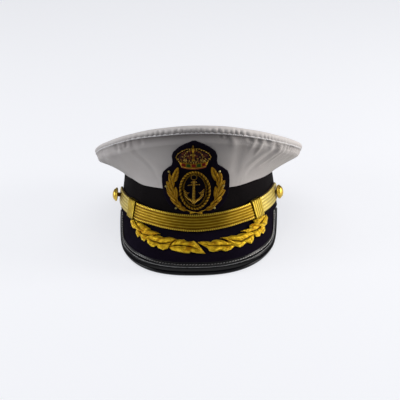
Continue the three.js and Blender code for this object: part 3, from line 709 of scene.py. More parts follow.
def thread_mesh(name, lengths, radius, sides=6, flat=1.0, tones=None):
    """Many lengths of thread as one mesh. Each of the lengths is a pair of its points, in
    millimetres, and the way that is out at each of them, and a pair may also hold many lengths
    at once. The radius may differ from point to point. Each length keeps a tone of its own, and
    the millimetres and the share along it."""
    ways, ups = (
        np.concatenate([np.reshape(part, (-1, *np.shape(part)[-2:])) for part in parts])
        for parts in zip(*lengths))
    count, steps, _ = ways.shape
    ahead = unit(np.gradient(ways, axis=1))
    beside = unit(np.cross(ahead, ups))
    over = np.cross(beside, ahead)
    radius = np.broadcast_to(np.asarray(radius, float), (count, steps))[..., None, None]
    turns = np.linspace(0, 2 * np.pi, sides, endpoint=False)
    round_about = (np.cos(turns)[:, None] * beside[:, :, None]
                   + flat * np.sin(turns)[:, None] * over[:, :, None])
    rings = ways[:, :, None] + radius * round_about
    ends = np.stack([
        ways[:, 0] - ahead[:, 0] * radius[:, 0, 0], ways[:, -1] + ahead[:, -1] * radius[:, -1, 0]
    ], 1)
    verts = np.concatenate([rings.reshape(count, -1, 3), ends], 1)
    ring, turn = np.meshgrid(np.arange(steps - 1), np.arange(sides), indexing="ij")
    after = (turn + 1) % sides
    quads = np.stack([
        ring * sides + turn, ring * sides + after, (ring + 1) * sides + after,
        (ring + 1) * sides + turn], -1).reshape(-1, 4)
    first, last = steps * sides, steps * sides + 1
    around = np.arange(sides)
    low = np.stack([np.full(sides, first), (around + 1) % sides, around], -1)
    top_ring = (steps - 1) * sides
    high = np.stack([np.full(sides, last), top_ring + around, top_ring + (around + 1) % sides], -1)
    per = verts.shape[1]
    shifts = (np.arange(count) * per)[:, None, None]
    faces = [*(quads + shifts).reshape(-1, 4).tolist(),
             *(np.concatenate([low, high]) + shifts).reshape(-1, 3).tolist()]
    mesh = bpy.data.meshes.new(name)
    mesh.from_pydata(standing(verts.reshape(-1, 3)).tolist(), [], faces)
    along = np.cumsum(np.linalg.norm(np.diff(ways, axis=1, prepend=ways[:, :1]), axis=-1), 1)
    along = np.concatenate([np.repeat(along, sides, 1), along[:, :1], along[:, -1:]], 1)
    if tones is None:
        tones = np.random.default_rng(count).uniform(0, 1, count)
    tones = np.repeat(np.asarray(tones, float)[:, None], per, 1)
    keep(mesh, along=along, share=along / along[:, -1:], tone=tones)
    piece = edited(linked(name, mesh), face_outwards)
    mesh.polygons.foreach_set("use_smooth", [True] * len(mesh.polygons))
    return piece


def on_peak_way(angles, shares, lifts):
    """Points over the peak and the way that it faces there."""
    points = peak_point(angles, shares, lifts)
    above = peak_point(angles, shares, lifts + 0.5)
    return points, (above - points) / 0.5


waxed = Finish("waxed_thread", (0.80, 0.78, 0.76), roughness=0.4)
waxed.colored(waxed.own("tone"), (0.07, 0.068, 0.07), (0.86, 0.84, 0.82))
waxed.twisted(0.8, 0.12)

rim_angles = np.radians(np.linspace(-84, 84, 2000))
rim_inset = peak_point(rim_angles, 1 - (BEAD + 8.4) / peak_width(rim_angles), 0 * rim_angles)
rim_run = run_along(rim_inset)
stitch_starts = np.arange(2, rim_run[-1] - 4, 3.3)
stitch_spots = stitch_starts[:, None] + np.linspace(0, 1.7, 5)
stitch_angles = np.interp(stitch_spots, rim_run, rim_angles)
stitch_lifts = np.broadcast_to(0.55 + 0.38 * np.sin(np.linspace(0, np.pi, 5)), stitch_angles.shape)
stitch_insets = BEAD + 8.3 + np.linspace(0, 0.4, 5)
stitch_ways = on_peak_way(
    stitch_angles, 1 - stitch_insets / peak_width(stitch_angles), stitch_lifts)
stitch_degrees = np.degrees(stitch_angles[:, 2])
stitch_tones = 0.2 + 0.75 * smooth_step(stitch_degrees, 12, 38)
stitch_tones += 0.3 * smooth_step(-stitch_degrees, 15, 45)
stitches = thread_mesh("binding_stitches", [stitch_ways], 0.4, tones=stitch_tones)
placed(stitches, waxed, "peak_binding")


# Leaf branches on the peak: oak leaves of gold bullion, a fine coiled wire that is cut to length
# and sewn side by side over padding, from the midrib out to the lobed edge. Each branch is four
# leaves, and each lies over the foot of the next one inwards.

# Each leaf is charted on the peak as seen from above: its midrib, upper edge and lower edge
BRANCHES = {
    "left": [
        ([(-66.8, -68.8), (-62.5, -79.1), (-58.4, -86.9), (-53.6, -92.1)],
         [(-66.8, -68.6), (-62.9, -74.1), (-55.1, -84.5), (-47.6, -93.1)],
         [(-69.1, -65.4), (-71.4, -65.1), (-69.9, -71.0), (-67.7, -76.2), (-65.0, -79.4),
          (-59.9, -86.5)]),
        ([(-60.0, -85.6), (-57.0, -91.3), (-49.2, -98.2), (-41.2, -101.1)],
         [(-56.5, -86.2), (-48.6, -93.5), (-42.4, -98.1), (-37.5, -102.0)],
         [(-63.8, -80.9), (-64.6, -83.7), (-61.9, -90.5), (-59.1, -91.1), (-57.3, -96.2),
          (-54.5, -99.6), (-52.1, -99.6), (-47.1, -101.0)]),
        ([(-50.6, -99.4), (-44.9, -105.3), (-37.2, -110.5), (-30.9, -112.7), (-24.1, -113.0)],
         [(-48.2, -98.8), (-38.1, -103.3), (-32.6, -107.3), (-26.2, -108.6), (-19.8, -111.8)],
         [(-51.8, -99.8), (-50.8, -102.8), (-46.6, -108.6), (-43.5, -110.8), (-40.9, -110.0),
          (-38.5, -113.6), (-33.6, -116.9), (-28.7, -117.2), (-27.0, -114.9)]),
        ([(-26.0, -116.0), (-16.8, -117.0), (-7.3, -118.7), (2.2, -120.8), (10.7, -123.9)],
         [(-25.1, -114.3), (-19.3, -111.9), (-11.7, -113.0), (-7.3, -115.3), (-1.2, -114.6),
          (2.1, -116.7), (6.5, -120.0), (10.7, -123.9)],
         [(-27.1, -116.6), (-23.8, -119.4), (-17.1, -121.8), (-11.9, -123.1), (-5.7, -123.8),
          (-4.3, -122.7), (1.7, -123.8), (10.7, -124.0)]),
    ],
    "right": [
        ([(74.2, -58.1), (70.0, -68.9), (65.9, -76.9), (60.6, -80.2)],
         [(71.2, -60.7), (66.2, -68.5), (60.7, -77.0), (62.5, -78.1), (56.9, -85.0)],
         [(75.2, -55.4), (76.5, -57.2), (75.4, -64.2), (73.3, -69.5), (69.8, -75.3)]),
        ([(70.9, -71.7), (64.8, -82.5), (58.0, -90.3), (49.3, -95.0)],
         [(62.5, -78.6), (56.9, -85.3), (57.1, -87.4), (52.8, -91.2), (48.1, -95.7)],
         [(73.3, -70.3), (73.4, -74.2), (71.6, -79.3), (69.1, -80.8), (67.6, -86.0), (64.1, -90.0),
          (62.3, -89.7), (56.0, -93.4)]),
        ([(59.9, -91.4), (54.4, -98.5), (48.2, -105.0), (39.1, -108.3), (27.3, -109.4)],
         [(56.0, -92.5), (50.2, -96.2), (45.4, -99.6), (43.5, -101.9), (38.3, -103.9),
          (34.0, -106.7), (26.9, -109.5)],
         [(61.8, -90.8), (61.1, -95.0), (58.7, -100.3), (53.4, -102.6), (50.1, -107.4),
          (46.2, -110.9), (41.5, -111.5), (35.8, -110.3)]),
        ([(41.5, -110.1), (34.9, -113.9), (25.4, -116.7), (15.6, -117.8), (3.2, -115.6)],
         [(39.6, -109.2), (32.1, -111.1), (25.5, -111.1), (19.3, -112.8), (16.5, -114.8),
          (9.9, -114.6), (3.2, -115.4)],
         [(41.0, -112.1), (37.2, -116.0), (32.0, -119.3), (27.3, -119.1), (24.5, -120.3),
          (19.3, -122.1), (15.1, -121.7), (13.7, -119.8), (3.2, -115.8)]),
    ],
}


def on_peak(x, y, lift):
    """The peak above or below a place, found by a few of Newton's steps."""
    angle, share = np.arctan2(x, -y), np.full(np.shape(x), 0.5)
    step = 1e-4
    for _ in range(10):
        spot = flat_peak(angle, share)[..., :2]
        by_angle = (flat_peak(angle + step, share)[..., :2] - spot) / step
        by_share = (flat_peak(angle, share + step)[..., :2] - spot) / step
        left = np.stack([x, y], -1) - spot
        area = by_angle[..., 0] * by_share[..., 1] - by_angle[..., 1] * by_share[..., 0]
        angle = angle + (left[..., 0] * by_share[..., 1] - left[..., 1] * by_share[..., 0]) / area
        share = share + (by_angle[..., 0] * left[..., 1] - by_angle[..., 1] * left[..., 0]) / area
    return on_peak_way(angle, share, lift)


def on_line(line, share):
    """A place at a share of a charted line's length."""
    line = np.asarray(line, float)
    run = run_along(line)
    return np.stack([np.interp(share * run[-1], run, line[:, k]) for k in (0, 1)], -1)


bullion = Finish("gold_bullion", (0.6, 0.36, 0.02), metallic=1.0, roughness=0.36)
tone = bullion.own("tone")
specks = bullion.noise(420, detail=3)
# The threads' tone holds a painted highlight on the swell of each lobe, and the specks are random
shine = (tone * 0.8 + specks * 0.35).between(0.2, 1.0)
bright = bullion.mix(shine, (0.30, 0.14, 0.003), (0.80, 0.54, 0.03))
tarnish_and_highlight = bullion.mix(specks.between(0.56, 0.68) * 0.6, bright, (0.26, 0.07, 0.004))
handled = bullion.noise(110).between(0.5, 0.66)
reached = bullion.own("share")
tarnish_and_highlight = bullion.mix(handled * reached.between(0.95, 0.6) * 0.75, tarnish_and_highlight, (0.36, 0.15, 0.004))
# Painted highlight: bright yellow in patches near the outer ends of the threads, at the leaf's
# edge
tarnish_and_highlight = bullion.mix(
    reached.between(0.72, 0.95) * specks.between(0.4, 0.6), tarnish_and_highlight, (0.95, 0.70, 0.06))
# Painted shade: the threads turn near black at their feet along the midrib
bullion.colored(reached.between(0.14, 0.0), tarnish_and_highlight, (0.05, 0.02, 0.002))
bullion.vary("Roughness", 0.28 + specks * 0.2)
bullion.twisted(0.9, 0.15)

padding = Finish("dark_padding", (0.10, 0.045, 0.008), roughness=0.7, specular_ior_level=0.2)
thread_marks = padding.noise(700)
padding.colored(thread_marks, (0.035, 0.012, 0.003), (0.13, 0.055, 0.008))
padding.bump(thread_marks, 0.2)


def leaf_puffs(share, length):
    """Each lobe of a leaf swells and sinks again before the next."""
    return 1 - np.abs(np.cos(np.pi * share * max(2, round(length / 8)))) ** 2.5


def leaf_fullness(span):
    """A leaf is highest where it is widest."""
    return np.clip(span / 7, 0.12, 1) ** 0.8


shades = np.random.default_rng(21)
for hand, leaves in BRANCHES.items():
    layers = [0.2 + 0.55 * above for above in range(len(leaves))][::-1]
    lengths, tones = [], []
    for layer, (midrib, upper, lower) in zip(layers, leaves):
        for edge in (upper, lower):
            length = run_along(midrib)[-1]
            starts = np.linspace(0, 1, int(length / 0.5))
            foot = on_line(midrib, starts * 0.99 - 0.1 * np.sin(np.pi * starts))
            tip = on_line(edge, starts)
            reach = np.linspace(0.04, 1, 8)[:, None]
            spots = foot[:, None] + (tip - foot)[:, None] * reach
            span = np.linalg.norm(tip - foot, axis=1)[:, None]
            puff = leaf_puffs(starts, length)
            height = 2.7 * leaf_fullness(span) * (0.87 + 0.13 * puff[:, None])
            lift = layer + height * np.sin(np.pi * (0.06 + 0.9 * reach[:, 0])) ** 0.7
            lengths.append(on_peak(spots[..., 0], spots[..., 1], lift))
            # A thread's tone: lighter on the swell of each lobe as painted highlight, darker in
            # the dips between as painted shade, and a random part
            tones.append(0.38 + 0.3 * puff + shades.uniform(0, 0.32, len(starts)))
    branch = thread_mesh(
        f"oak_branch_{hand}", lengths, 0.44, flat=0.8, tones=np.concatenate(tones))
    placed(branch, bullion, "peak_leaves", f"peak_leaves_{hand}")
    for number, (layer, (midrib, upper, lower)) in enumerate(zip(layers, leaves)):

        def on_bed(u, v, midrib=midrib, upper=upper, lower=lower, layer=layer):
            side = 2 * v - 1
            middle = on_line(midrib, u)
            edge = np.where((side > 0)[:, None], on_line(upper, u), on_line(lower, u))
            reach = np.abs(side)
            spots = middle + (edge - middle) * reach[:, None] * 0.93
            height = 1.6 * leaf_fullness(np.linalg.norm(edge - middle, axis=1))
            lift = layer + height * np.sin(np.pi * (0.06 + 0.88 * reach)) ** 0.7 - 0.55
            return on_peak(spots[:, 0], spots[:, 1], lift)[0]

        bed = laid_grid(f"leaf_padding_{hand}_{number}", 48, 12, on_bed)
        placed(smooth(thickened(bed, 0.5, 0)), padding, "peak_leaves")


# Chin strap: flat gold wire lace, woven in lengthwise ribs. It is doubled between the keepers and
# single beyond them, and climbs from the peak to the buttons that hold its ends.
STRAP_HALF = 8.7
STRAP_RADIUS = 92.0


def strap_height(angle):
    """The strap's middle line, which climbs from the front to the buttons."""
    degrees = np.degrees(angle)
    rounded = np.sqrt(degrees**2 + 64) - 8
    return 2.4 + 0.1213 * rounded + 0.00115 * degrees**2 + 1.2 * np.sin(angle) ** 3


def strap_point(angle, across, out):
    step = 1e-3
    climb = (strap_height(angle + step) - strap_height(angle - step)) / (2 * step)
    slope = np.arctan2(climb, STRAP_RADIUS)
    low = strap_height(angle) - STRAP_HALF
    degrees = np.degrees(np.abs(angle))
    room = 2.7 * smooth_step(degrees, 30, 44)
    over_peak = PEAK["bulge"] + 0.8 * (PEAK["root"] - low) + room
    upper = 3.3 - 1.5 * smooth_step(degrees, 20, 46)
    lower = np.maximum(upper, over_peak)
    offset = lower + (upper - lower) * (across + 1) / 2 + out
    height = strap_height(angle) + STRAP_HALF * across * np.cos(slope)
    turned = angle - (STRAP_HALF * across * np.sin(slope)) / STRAP_RADIUS
    return band_point(turned, height, offset)


def lace_section(ribs, thickness, relief):
    """Across the lace: rounded ribs with narrow grooves between, an edge cord at each side."""
    spots = []
    for v in np.linspace(-1, 1, ribs * 10 + 1):
        rib = abs(math.sin(math.pi * (v + 1) / 2 * ribs)) ** 0.8
        spots.append((v, thickness - relief + relief * rib))
    return np.array([(-1.0, 0.0), (-1.012, thickness * 0.4)] + spots
                    + [(1.012, thickness * 0.4), (1.0, 0.0), (0.0, 0.0)])


def lace(name, deep, light, pale, ribs, dotted=0.0, groove_shade=1.0):
    """Woven gold wire: a painted highlight along the top of each rib, and painted shade in the
    grooves between.
    """
    finish = Finish(name, light, metallic=1.0, roughness=0.4)
    along, across = finish.own("along"), finish.own("across")
    rib = ((across + 1) * (ribs / 2)).wave(1, -math.pi / 2)
    weave = (along + across * 5).wave(0.9) * 0.5 + (along - across * 5).wave(1.1) * 0.5
    worn = finish.noise(150, detail=3)
    patchy = (worn * 0.7 + weave * 0.3).between(0.2, 0.8)
    tint = finish.mix(patchy, tuple(0.72 * c for c in light), light)
    # Painted highlight along each rib's top, then painted shade in the grooves
    tint = finish.mix(rib.between(0.84, 1.0) * (0.4 + patchy * 0.6), tint, pale)
    tint = finish.mix(rib.between(0.16, 0.0) * groove_shade, tint, deep)
    if dotted:
        row = abs(abs(across) - dotted).between(0.09, 0.045)
        tint = finish.mix(row * along.wave(2.9).between(0.2, 0.6), tint, deep)
        edge = abs(across).between(dotted + 0.1, dotted + 0.17)
        tint = finish.mix(edge * along.wave(2.4).between(0.3, 0.8), tint, pale)
    finish.vary("Base Color", tint)
    finish.vary("Roughness", 0.34 + worn * 0.2)
    finish.bump(weave * 0.6 + worn * 0.4, 0.15)
    return finish


# Each lace: the colour of the painted shade in its grooves, its own colour, and the colour of the
# painted highlight on its ribs
strap_lace = lace("strap_lace", (0.06, 0.022, 0.002), (0.18, 0.10, 0.003), (0.54, 0.385, 0.05), 6,
                  dotted=0.72, groove_shade=0.2)
pale_lace = lace(
    "pale_lace", (0.26, 0.16, 0.03), (0.49, 0.38, 0.085), (0.70, 0.585, 0.19), 5, groove_shade=0.5)
keeper_lace = lace(
    "keeper_lace", (0.10, 0.045, 0.005), (0.33, 0.23, 0.019), (0.56, 0.43, 0.076), 5)

# Where each keeper covers the joint between the doubled lace and the single, in degrees
STRAP_JOINS = {"left": -52.4, "right": 49.5}
front_section = lace_section(6, 2.2, 0.18)


def on_front_strap(u, spot):
    angle = np.radians(STRAP_JOINS["left"] + (STRAP_JOINS["right"] - STRAP_JOINS["left"]) * u)
    return strap_point(angle, spot[:, 0], spot[:, 1])


strap = lofted("strap_front_lace", 300, front_section, on_front_strap, 175)
placed(smooth(strap, 60), strap_lace, "strap_front", "strap_front")

SIDES = {"left": -1, "right": 1}
STRAP_END = 85.6
BUTTON_ANGLE = 80.5
end_section = lace_section(5, 1.6, 0.22)
backing = Finish("strap_backing", (0.055, 0.025, 0.012), roughness=0.6)
backing.bump(backing.noise(600), 0.12)


def end_rounding(degrees):
    past = (degrees - BUTTON_ANGLE) / (STRAP_END - BUTTON_ANGLE)
    return np.where(past > 0, np.sqrt(np.clip(1 - past**2, 0.06, 1)), 1.0)


back_section = np.array(
    [(-1.03, -0.1), (-1.03, -0.8), (0.0, -0.8), (1.03, -0.8), (1.03, -0.1), (0.0, -0.1)])
for hand, turn in SIDES.items():
    first = abs(STRAP_JOINS[hand]) + 0.25

    def on_strap_end(u, spot, turn=turn, first=first):
        degrees = first + (STRAP_END - first) * (1 - (1 - u) ** 1.6)
        rounded = spot[:, 0] * end_rounding(degrees)
        return strap_point(np.radians(turn * degrees), rounded, spot[:, 1])

    end = lofted(f"strap_end_lace_{hand}", 90, end_section, on_strap_end, 55)
    placed(smooth(end, 60), pale_lace, "strap_ends", f"strap_end_{hand}")
    back = lofted(f"strap_backing_{hand}", 60, back_section, on_strap_end, 55)
    placed(smooth(back, 60), backing, "strap_ends")


# Keepers: short loops of gold lace round the strap, ribbed along the loop. Each holds the two
# layers of the strap together, and slides to set its length.

# Middle and half width in degrees, and how far each leans along the strap
KEEPERS = {"left": (-52.2, 4.2, 0.6), "right": (48.0, 4.7, 0.0)}
KEEPER_RIBS = 5
keeper_wall = [
    (u, 1.2 + 0.35 * abs(math.sin(math.pi * KEEPER_RIBS * (u + 1) / 2)) ** 0.6)
    for u in np.linspace(-1, 1, 31)]
keeper_section = np.array(keeper_wall + [(0.98, 0.35), (0.0, 0.3), (-0.98, 0.35)])


def keeper_ring(turn):
    """A rounded oblong round the strap: across from -1 to 1, and out from its inner face."""
    c, s = np.cos(turn), np.sin(turn)
    wide = np.sign(c) * np.abs(c) ** 0.16
    deep = np.sign(s) * np.abs(s) ** 0.3
    return wide, deep


for hand, (middle, half, lean) in KEEPERS.items():

    def on_keeper(u, spot, middle=middle, half=half, lean=lean):
        wide, deep = keeper_ring(2 * np.pi * u)
        over = wide * (1 + spot[:, 1] / STRAP_HALF)
        out = 1.1 + deep * (1.1 + spot[:, 1])
        angle = np.radians(middle + half * spot[:, 0] - lean * wide)
        return strap_point(angle, over, out)

    keeper = lofted(f"keeper_lace_{hand}", 96, keeper_section, on_keeper, 42, ring=True)
    placed(smooth(keeper, 60), keeper_lace, "keepers", f"keeper_{hand}")


# Buttons: gilt brass, pressed into a dome with a roped rim. A shank bound in brown thread passes
# through the strap's end and the band, and holds both.
gilt = Finish("gilt_brass", (0.62, 0.40, 0.06), metallic=1.0, roughness=0.3)
scuffs = gilt.noise(260, detail=3)
gilt.colored(scuffs.between(0.3, 0.7), (0.48, 0.31, 0.03), (0.68, 0.47, 0.08))
gilt.vary("Roughness", 0.26 + scuffs * 0.2)
gilt.bump(scuffs, 0.05)

# How far the button's middle lies under the strap's, its back stands off the band, and how much
# it is turned to the front
BUTTONS = {"left": (0.9, 6.6, 0.03), "right": (2.3, 5.6, 0.16)}


def button_seat(hand, turn):
    """The button's foot on the band, with the way that it faces and two ways across it."""
    drop, _, forward = BUTTONS[hand]
    angle = np.array([math.radians(turn * BUTTON_ANGLE)])
    height = strap_height(angle) - drop
    foot = band_point(angle, height)[0]
    out = raised(band_point, angle, height, np.array([1.0]))[0] - foot
    out = unit(out + forward * np.array([0, -1.0, 0]))
    over = unit(np.cross(out, (0, 0, 1)))
    return foot, out, over, np.cross(over, out)


SHANK = {"radius": 1.8, "top": 1.3}
# Height and radius of each step outwards from the end of the shank, out to the rim and over it
BUTTON_STEPS = [(0, 1.8), (0, 7.0), (0.4, 7.8), (1.1, 8.0), (1.8, 7.8), (2.1, 7.2), (2.0, 6.8)]
BUTTON_STEPS += [
    (2.0 + 3.4 * math.sin(t), 6.8 * math.cos(t)) for t in np.radians(range(12, 84, 9))]
binding_thread = Finish("shank_thread", (0.10, 0.03, 0.012), roughness=0.6)
binding_thread.bump(binding_thread.own("tone").wave(0.2), 0.1)

for hand, turn in SIDES.items():
    foot, out, over, up = button_seat(hand, turn)
    back = BUTTONS[hand][1]
    bpy.ops.mesh.primitive_cylinder_add(
        vertices=48, radius=SHANK["radius"], depth=1, location=(0, 0, SHANK["top"] - 0.5))
    button = named(f"gilt_button_{hand}")
    bpy.ops.object.transform_apply(location=True, rotation=False, scale=False)
    bpy.ops.object.mode_set(mode="EDIT")
    bpy.ops.mesh.select_all(action="DESELECT")
    bpy.ops.object.mode_set(mode="OBJECT")
    for face in button.data.polygons:
        face.select = face.center.z > SHANK["top"] - 0.1
    bpy.ops.object.mode_set(mode="EDIT")
    height, radius = SHANK["top"], SHANK["radius"]
    for step_height, step_radius in BUTTON_STEPS:
        bpy.ops.mesh.extrude_region_move(
            TRANSFORM_OT_translate={"value": (0, 0, back + step_height - height)})
        height, grown = back + step_height, step_radius / radius
        bpy.ops.transform.resize(value=(grown, grown, 1), center_override=(0, 0, height))
        radius = step_radius
    bpy.ops.object.mode_set(mode="OBJECT")
    x, y, z = corners(button)
    radius, around = np.hypot(x, y), np.arctan2(y, x)
    roped = 0.22 * np.sin(around * 24) * ((radius > 6.9) & (z > back + 0.2))
    spots = foot + over * x[:, None] + up * y[:, None] + out * (z + roped)[:, None]
    edited(laid_out(button, spots), face_outwards)
    placed(smooth(button, 50), gilt, "buttons", f"button_{hand}")
    laps = []
    around = np.linspace(0, 2 * np.pi, 13)[:, None]
    ways_out = over * np.cos(around) + up * np.sin(around)
    for rise in np.arange(2.2, back - 0.3, 0.5):
        laps.append((foot + out * rise + ways_out * 2.1, ways_out))
    wrap = thread_mesh(f"shank_binding_{hand}", laps, 0.34)
    placed(wrap, binding_thread, "peak_binding")


# Badge patch: navy felt over padding, cut in a lobed shield, and sewn by its edge to the front of
# the cap, half on the band and half on the white wall.

# Height and half width
PATCH_ROWS = np.array([
    (9.5, 12), (13, 20), (19, 27.6), (25, 32), (31, 34.3), (36, 35.3), (41, 35.8), (47, 36.2),
    (53, 36), (58, 34.4), (62.5, 29.6), (66, 24.6), (70, 23.6), (76, 24.2), (81, 22.4),
    (86, 16.8), (90, 10), (93.5, 2),
])
PATCH_FOOT, PATCH_TOP = 9.5, 93.8
BADGE_MIDDLE = 1.2


def cap_front(angle, height):
    hem = band_top(angle) + 0.3
    corner = crown_height(angle) - CORNER["drop"]
    seam_height = crown_height(angle) - seam_drop(angle) - 0.3
    on_wall = np.where(
        height > corner, 1 + (height - corner) / (seam_height - corner),
        (height - hem) / (corner - hem))
    wall = plain_side(angle, np.clip(on_wall, 0, 2))
    return np.where((height <= hem)[..., None], band_point(angle, height, 0.6), wall)


def cap_front_at(x, height):
    """Steps to the angle at which the front reaches x, and takes its depth there."""
    angle = np.zeros_like(x)
    for _ in range(8):
        angle = angle + (x - cap_front(angle, height)[..., 0]) / 118
    spot = cap_front(angle, height)
    return points_of(x, spot[..., 1], height)


def badge_ground(x, height):
    """The stiff patch bridges the hollow where the crown's hem lies on the band."""
    reach = np.minimum(8, np.clip(94 - height, 0, None) / 3)
    bridge = (cap_front_at(x, height - reach) + cap_front_at(x, height + reach)) / 2
    face = cap_front_at(x, height)
    return np.where((bridge[..., 1] < face[..., 1])[..., None], bridge, face)


# The ground is worked out once, one point in each millimetre, and then read between them
GROUND_LEFT, GROUND_FOOT = -42, 4
ground_x, ground_z = np.meshgrid(
    np.arange(GROUND_LEFT, 43.0), np.arange(GROUND_FOOT, 99.0), indexing="ij")
ground_depth = badge_ground(ground_x + BADGE_MIDDLE, ground_z)[..., 1]


def depth_at(x, z):
    x = np.clip(x - GROUND_LEFT, 0, ground_depth.shape[0] - 1.001)
    z = np.clip(z - GROUND_FOOT, 0, ground_depth.shape[1] - 1.001)
    i, k = x.astype(int), z.astype(int)
    past, over = x - i, z - k
    low = ground_depth[i, k] * (1 - past) + ground_depth[i + 1, k] * past
    high = ground_depth[i, k + 1] * (1 - past) + ground_depth[i + 1, k + 1] * past
    return low * (1 - over) + high * over


def on_badge(x, z, lift):
    """A point so far above the badge's ground, and the way that the ground faces there."""
    x, z, lift = np.broadcast_arrays(np.asarray(x, float), z, lift)
    slope_x = (depth_at(x + 1, z) - depth_at(x - 1, z)) / 2
    slope_z = (depth_at(x, z + 1) - depth_at(x, z - 1)) / 2
    facing = unit(points_of(slope_x, -1.0, slope_z))
    ground = points_of(x + BADGE_MIDDLE, depth_at(x, z), z)
    return ground + facing * lift[..., None], facing


def on_patch(u, v):
    height = PATCH_FOOT + (PATCH_TOP - PATCH_FOOT) * v
    half = np.interp(height, PATCH_ROWS[:, 0], PATCH_ROWS[:, 1])
    side = 2 * u - 1
    x = np.sign(side) * half * np.abs(side) ** 0.8
    rounding = np.clip((half - np.abs(x)) / 1.6, 0, 1)
    ends = np.clip(np.minimum(height - PATCH_FOOT, PATCH_TOP - height) / 1.6, 0, 1)
    edge = np.sqrt(1 - (1 - np.minimum(rounding, ends)) ** 2)
    return on_badge(x, height, 0.6 + 1.9 * edge)[0]


patch = laid_grid("badge_felt", 90, 110, on_patch)
placed(smooth(thickened(patch, 0.8, -1), 60), felt, "badge_patch", "badge_patch")


# Laurel sprays of the badge: slender leaves of gold bullion, each sewn slantwise from its midrib
# over a thin padding, on two corded stems that are tied together at the foot. The berries are
# round beads.

# How far the patch's face lies above the ground under it
RELIEF = 2.45
SPRAY_STEM = [(2.5, 13.4), (9, 15.2), (16.5, 20.8), (22.4, 29.6), (25, 39.6), (24, 49)]
SPRAY_LEAVES = [
    ((9.5, 15.4), (20.4, 20.4), 2.2), ((14, 19.0), (26.6, 28.0), 2.7),
    ((18.5, 25.0), (30, 37), 2.9), ((21.4, 31.4), (30, 48), 2.9), ((23, 40), (26.6, 57.0), 2.7),
    ((23.4, 46.4), (17.4, 64.4), 3.1), ((20, 27.6), (20.6, 41.4), 1.9),
]
# Foot and tip of each berry's stalk
BERRIES = {
    "left": [((25.6, 54), (26.8, 60)), ((29.4, 36.6), (30.6, 42.0)), ((18, 19.4), (20.8, 17.6))],
    "right": [((24, 53), (25.2, 59.4)), ((28, 36), (28.4, 41.6)), ((17, 19), (19, 17.2))],
}

badge_gold = Finish("badge_bullion", (0.4, 0.24, 0.02), metallic=1.0, roughness=0.4)
badge_tone = badge_gold.own("tone") * 0.7 + badge_gold.noise(400) * 0.5
badge_gold.colored(badge_tone.between(0.2, 0.95), (0.045, 0.015, 0.002), (0.42, 0.25, 0.022))
badge_gold.twisted(0.8, 0.2)
# The leaves' threads are darkest at the midrib and where they turn under at the edge, as painted
# shade
laurel_gold = Finish("laurel_bullion", (0.4, 0.24, 0.02), metallic=1.0, roughness=0.4)
laurel_share = laurel_gold.own("share")
laurel_painted_shade = laurel_share.between(0.16, 0.0) + laurel_share.between(0.86, 1.0)
laurel_tone = laurel_gold.own("tone") * 0.5 + laurel_gold.noise(300) * 0.6
laurel_light = laurel_gold.mix(
    laurel_tone.between(0.2, 0.85), (0.12, 0.05, 0.003), (0.37, 0.21, 0.016))
laurel_gold.colored(laurel_painted_shade, laurel_light, (0.07, 0.02, 0.002))
laurel_gold.twisted(0.8, 0.15)
berry_gold = Finish("berry_gold", (0.40, 0.33, 0.11), metallic=0.8, roughness=0.38)
berry_gold.bump(berry_gold.noise(900), 0.2)


def cord_way(way, steps, lift):
    """A smooth curve through places on the badge, as points and the way that it faces there."""
    line = on_line(way, np.linspace(0, 1, 4 * steps))
    for _ in range(steps // 2):
        line[1:-1] = (line[:-2] + 2 * line[1:-1] + line[2:]) / 4
    pick = np.linspace(0, len(line) - 1, steps).astype(int)
    return on_badge(line[pick, 0], line[pick, 1], lift)


def beads(name, spots, radius, lift):
    """Round beads, as very short and fat lengths of thread."""
    x, z = np.asarray(spots, float).T
    radius = np.broadcast_to(radius, x.shape)
    heights = np.linspace(-0.92, 0.92, 7)
    ways = np.stack([on_badge(x, z, lift + radius * (1 + h))[0] for h in heights], 1)
    ups = np.broadcast_to((1.0, 0.0, 0.0), ways.shape)
    return thread_mesh(name, [(ways, ups)], radius[:, None] * np.sqrt(1 - heights**2), sides=10)


for hand, turn in SIDES.items():
    lengths = []
    for (foot_x, foot_z), (tip_x, tip_z), half in SPRAY_LEAVES:
        foot = np.array([turn * foot_x, foot_z])
        tip = np.array([turn * tip_x, tip_z])
        length = np.linalg.norm(tip - foot)
        ahead = (tip - foot) / length
        beside = np.array([-ahead[1], ahead[0]])
        starts = np.linspace(0, 0.86, int(length / 0.55))
        reach = np.linspace(0, 1, 5)
        share = np.clip(starts[:, None] + 0.24 * reach, 0, 1)
        fullness = np.sin(np.pi * np.clip(share, 0.03, 0.99) ** 0.85) ** 0.65
        for flank in (-1, 1):
            over = flank * (0.12 + half * fullness * reach)
            spots = foot + ahead * length * share[..., None] + beside * over[..., None]
            lift = RELIEF + 0.35 + 1.3 * fullness * np.sin(np.pi * (0.12 + 0.82 * reach))
            lengths.append(on_badge(spots[..., 0], spots[..., 1], lift))
    spray = thread_mesh(f"laurel_{hand}", lengths, 0.36)
    placed(spray, laurel_gold, "badge_wreath", f"badge_wreath_{hand}")
    stems = [
        cord_way([(turn * x, z) for x, z in way], 16, RELIEF + 0.5)
        for way in (SPRAY_STEM, *BERRIES[hand])]
    stem = thread_mesh(f"laurel_stem_{hand}", stems, 0.5, sides=8)
    placed(stem, badge_gold, "badge_wreath")
    berries = beads(
        f"laurel_berries_{hand}", [(turn * x, z) for _, (x, z) in BERRIES[hand]], 1.3, RELIEF)
    placed(berries, berry_gold, "badge_wreath")

tie_ways = [
    cord_way([(-6, 12.6 - slope), (0, 13.2), (6, 12.6 + slope)], 16, RELIEF + 1.0)
    for slope in (-1, -0.4, 0.4, 1)]
placed(thread_mesh("laurel_tie", tie_ways, 0.55, sides=8), badge_gold, "badge_wreath")


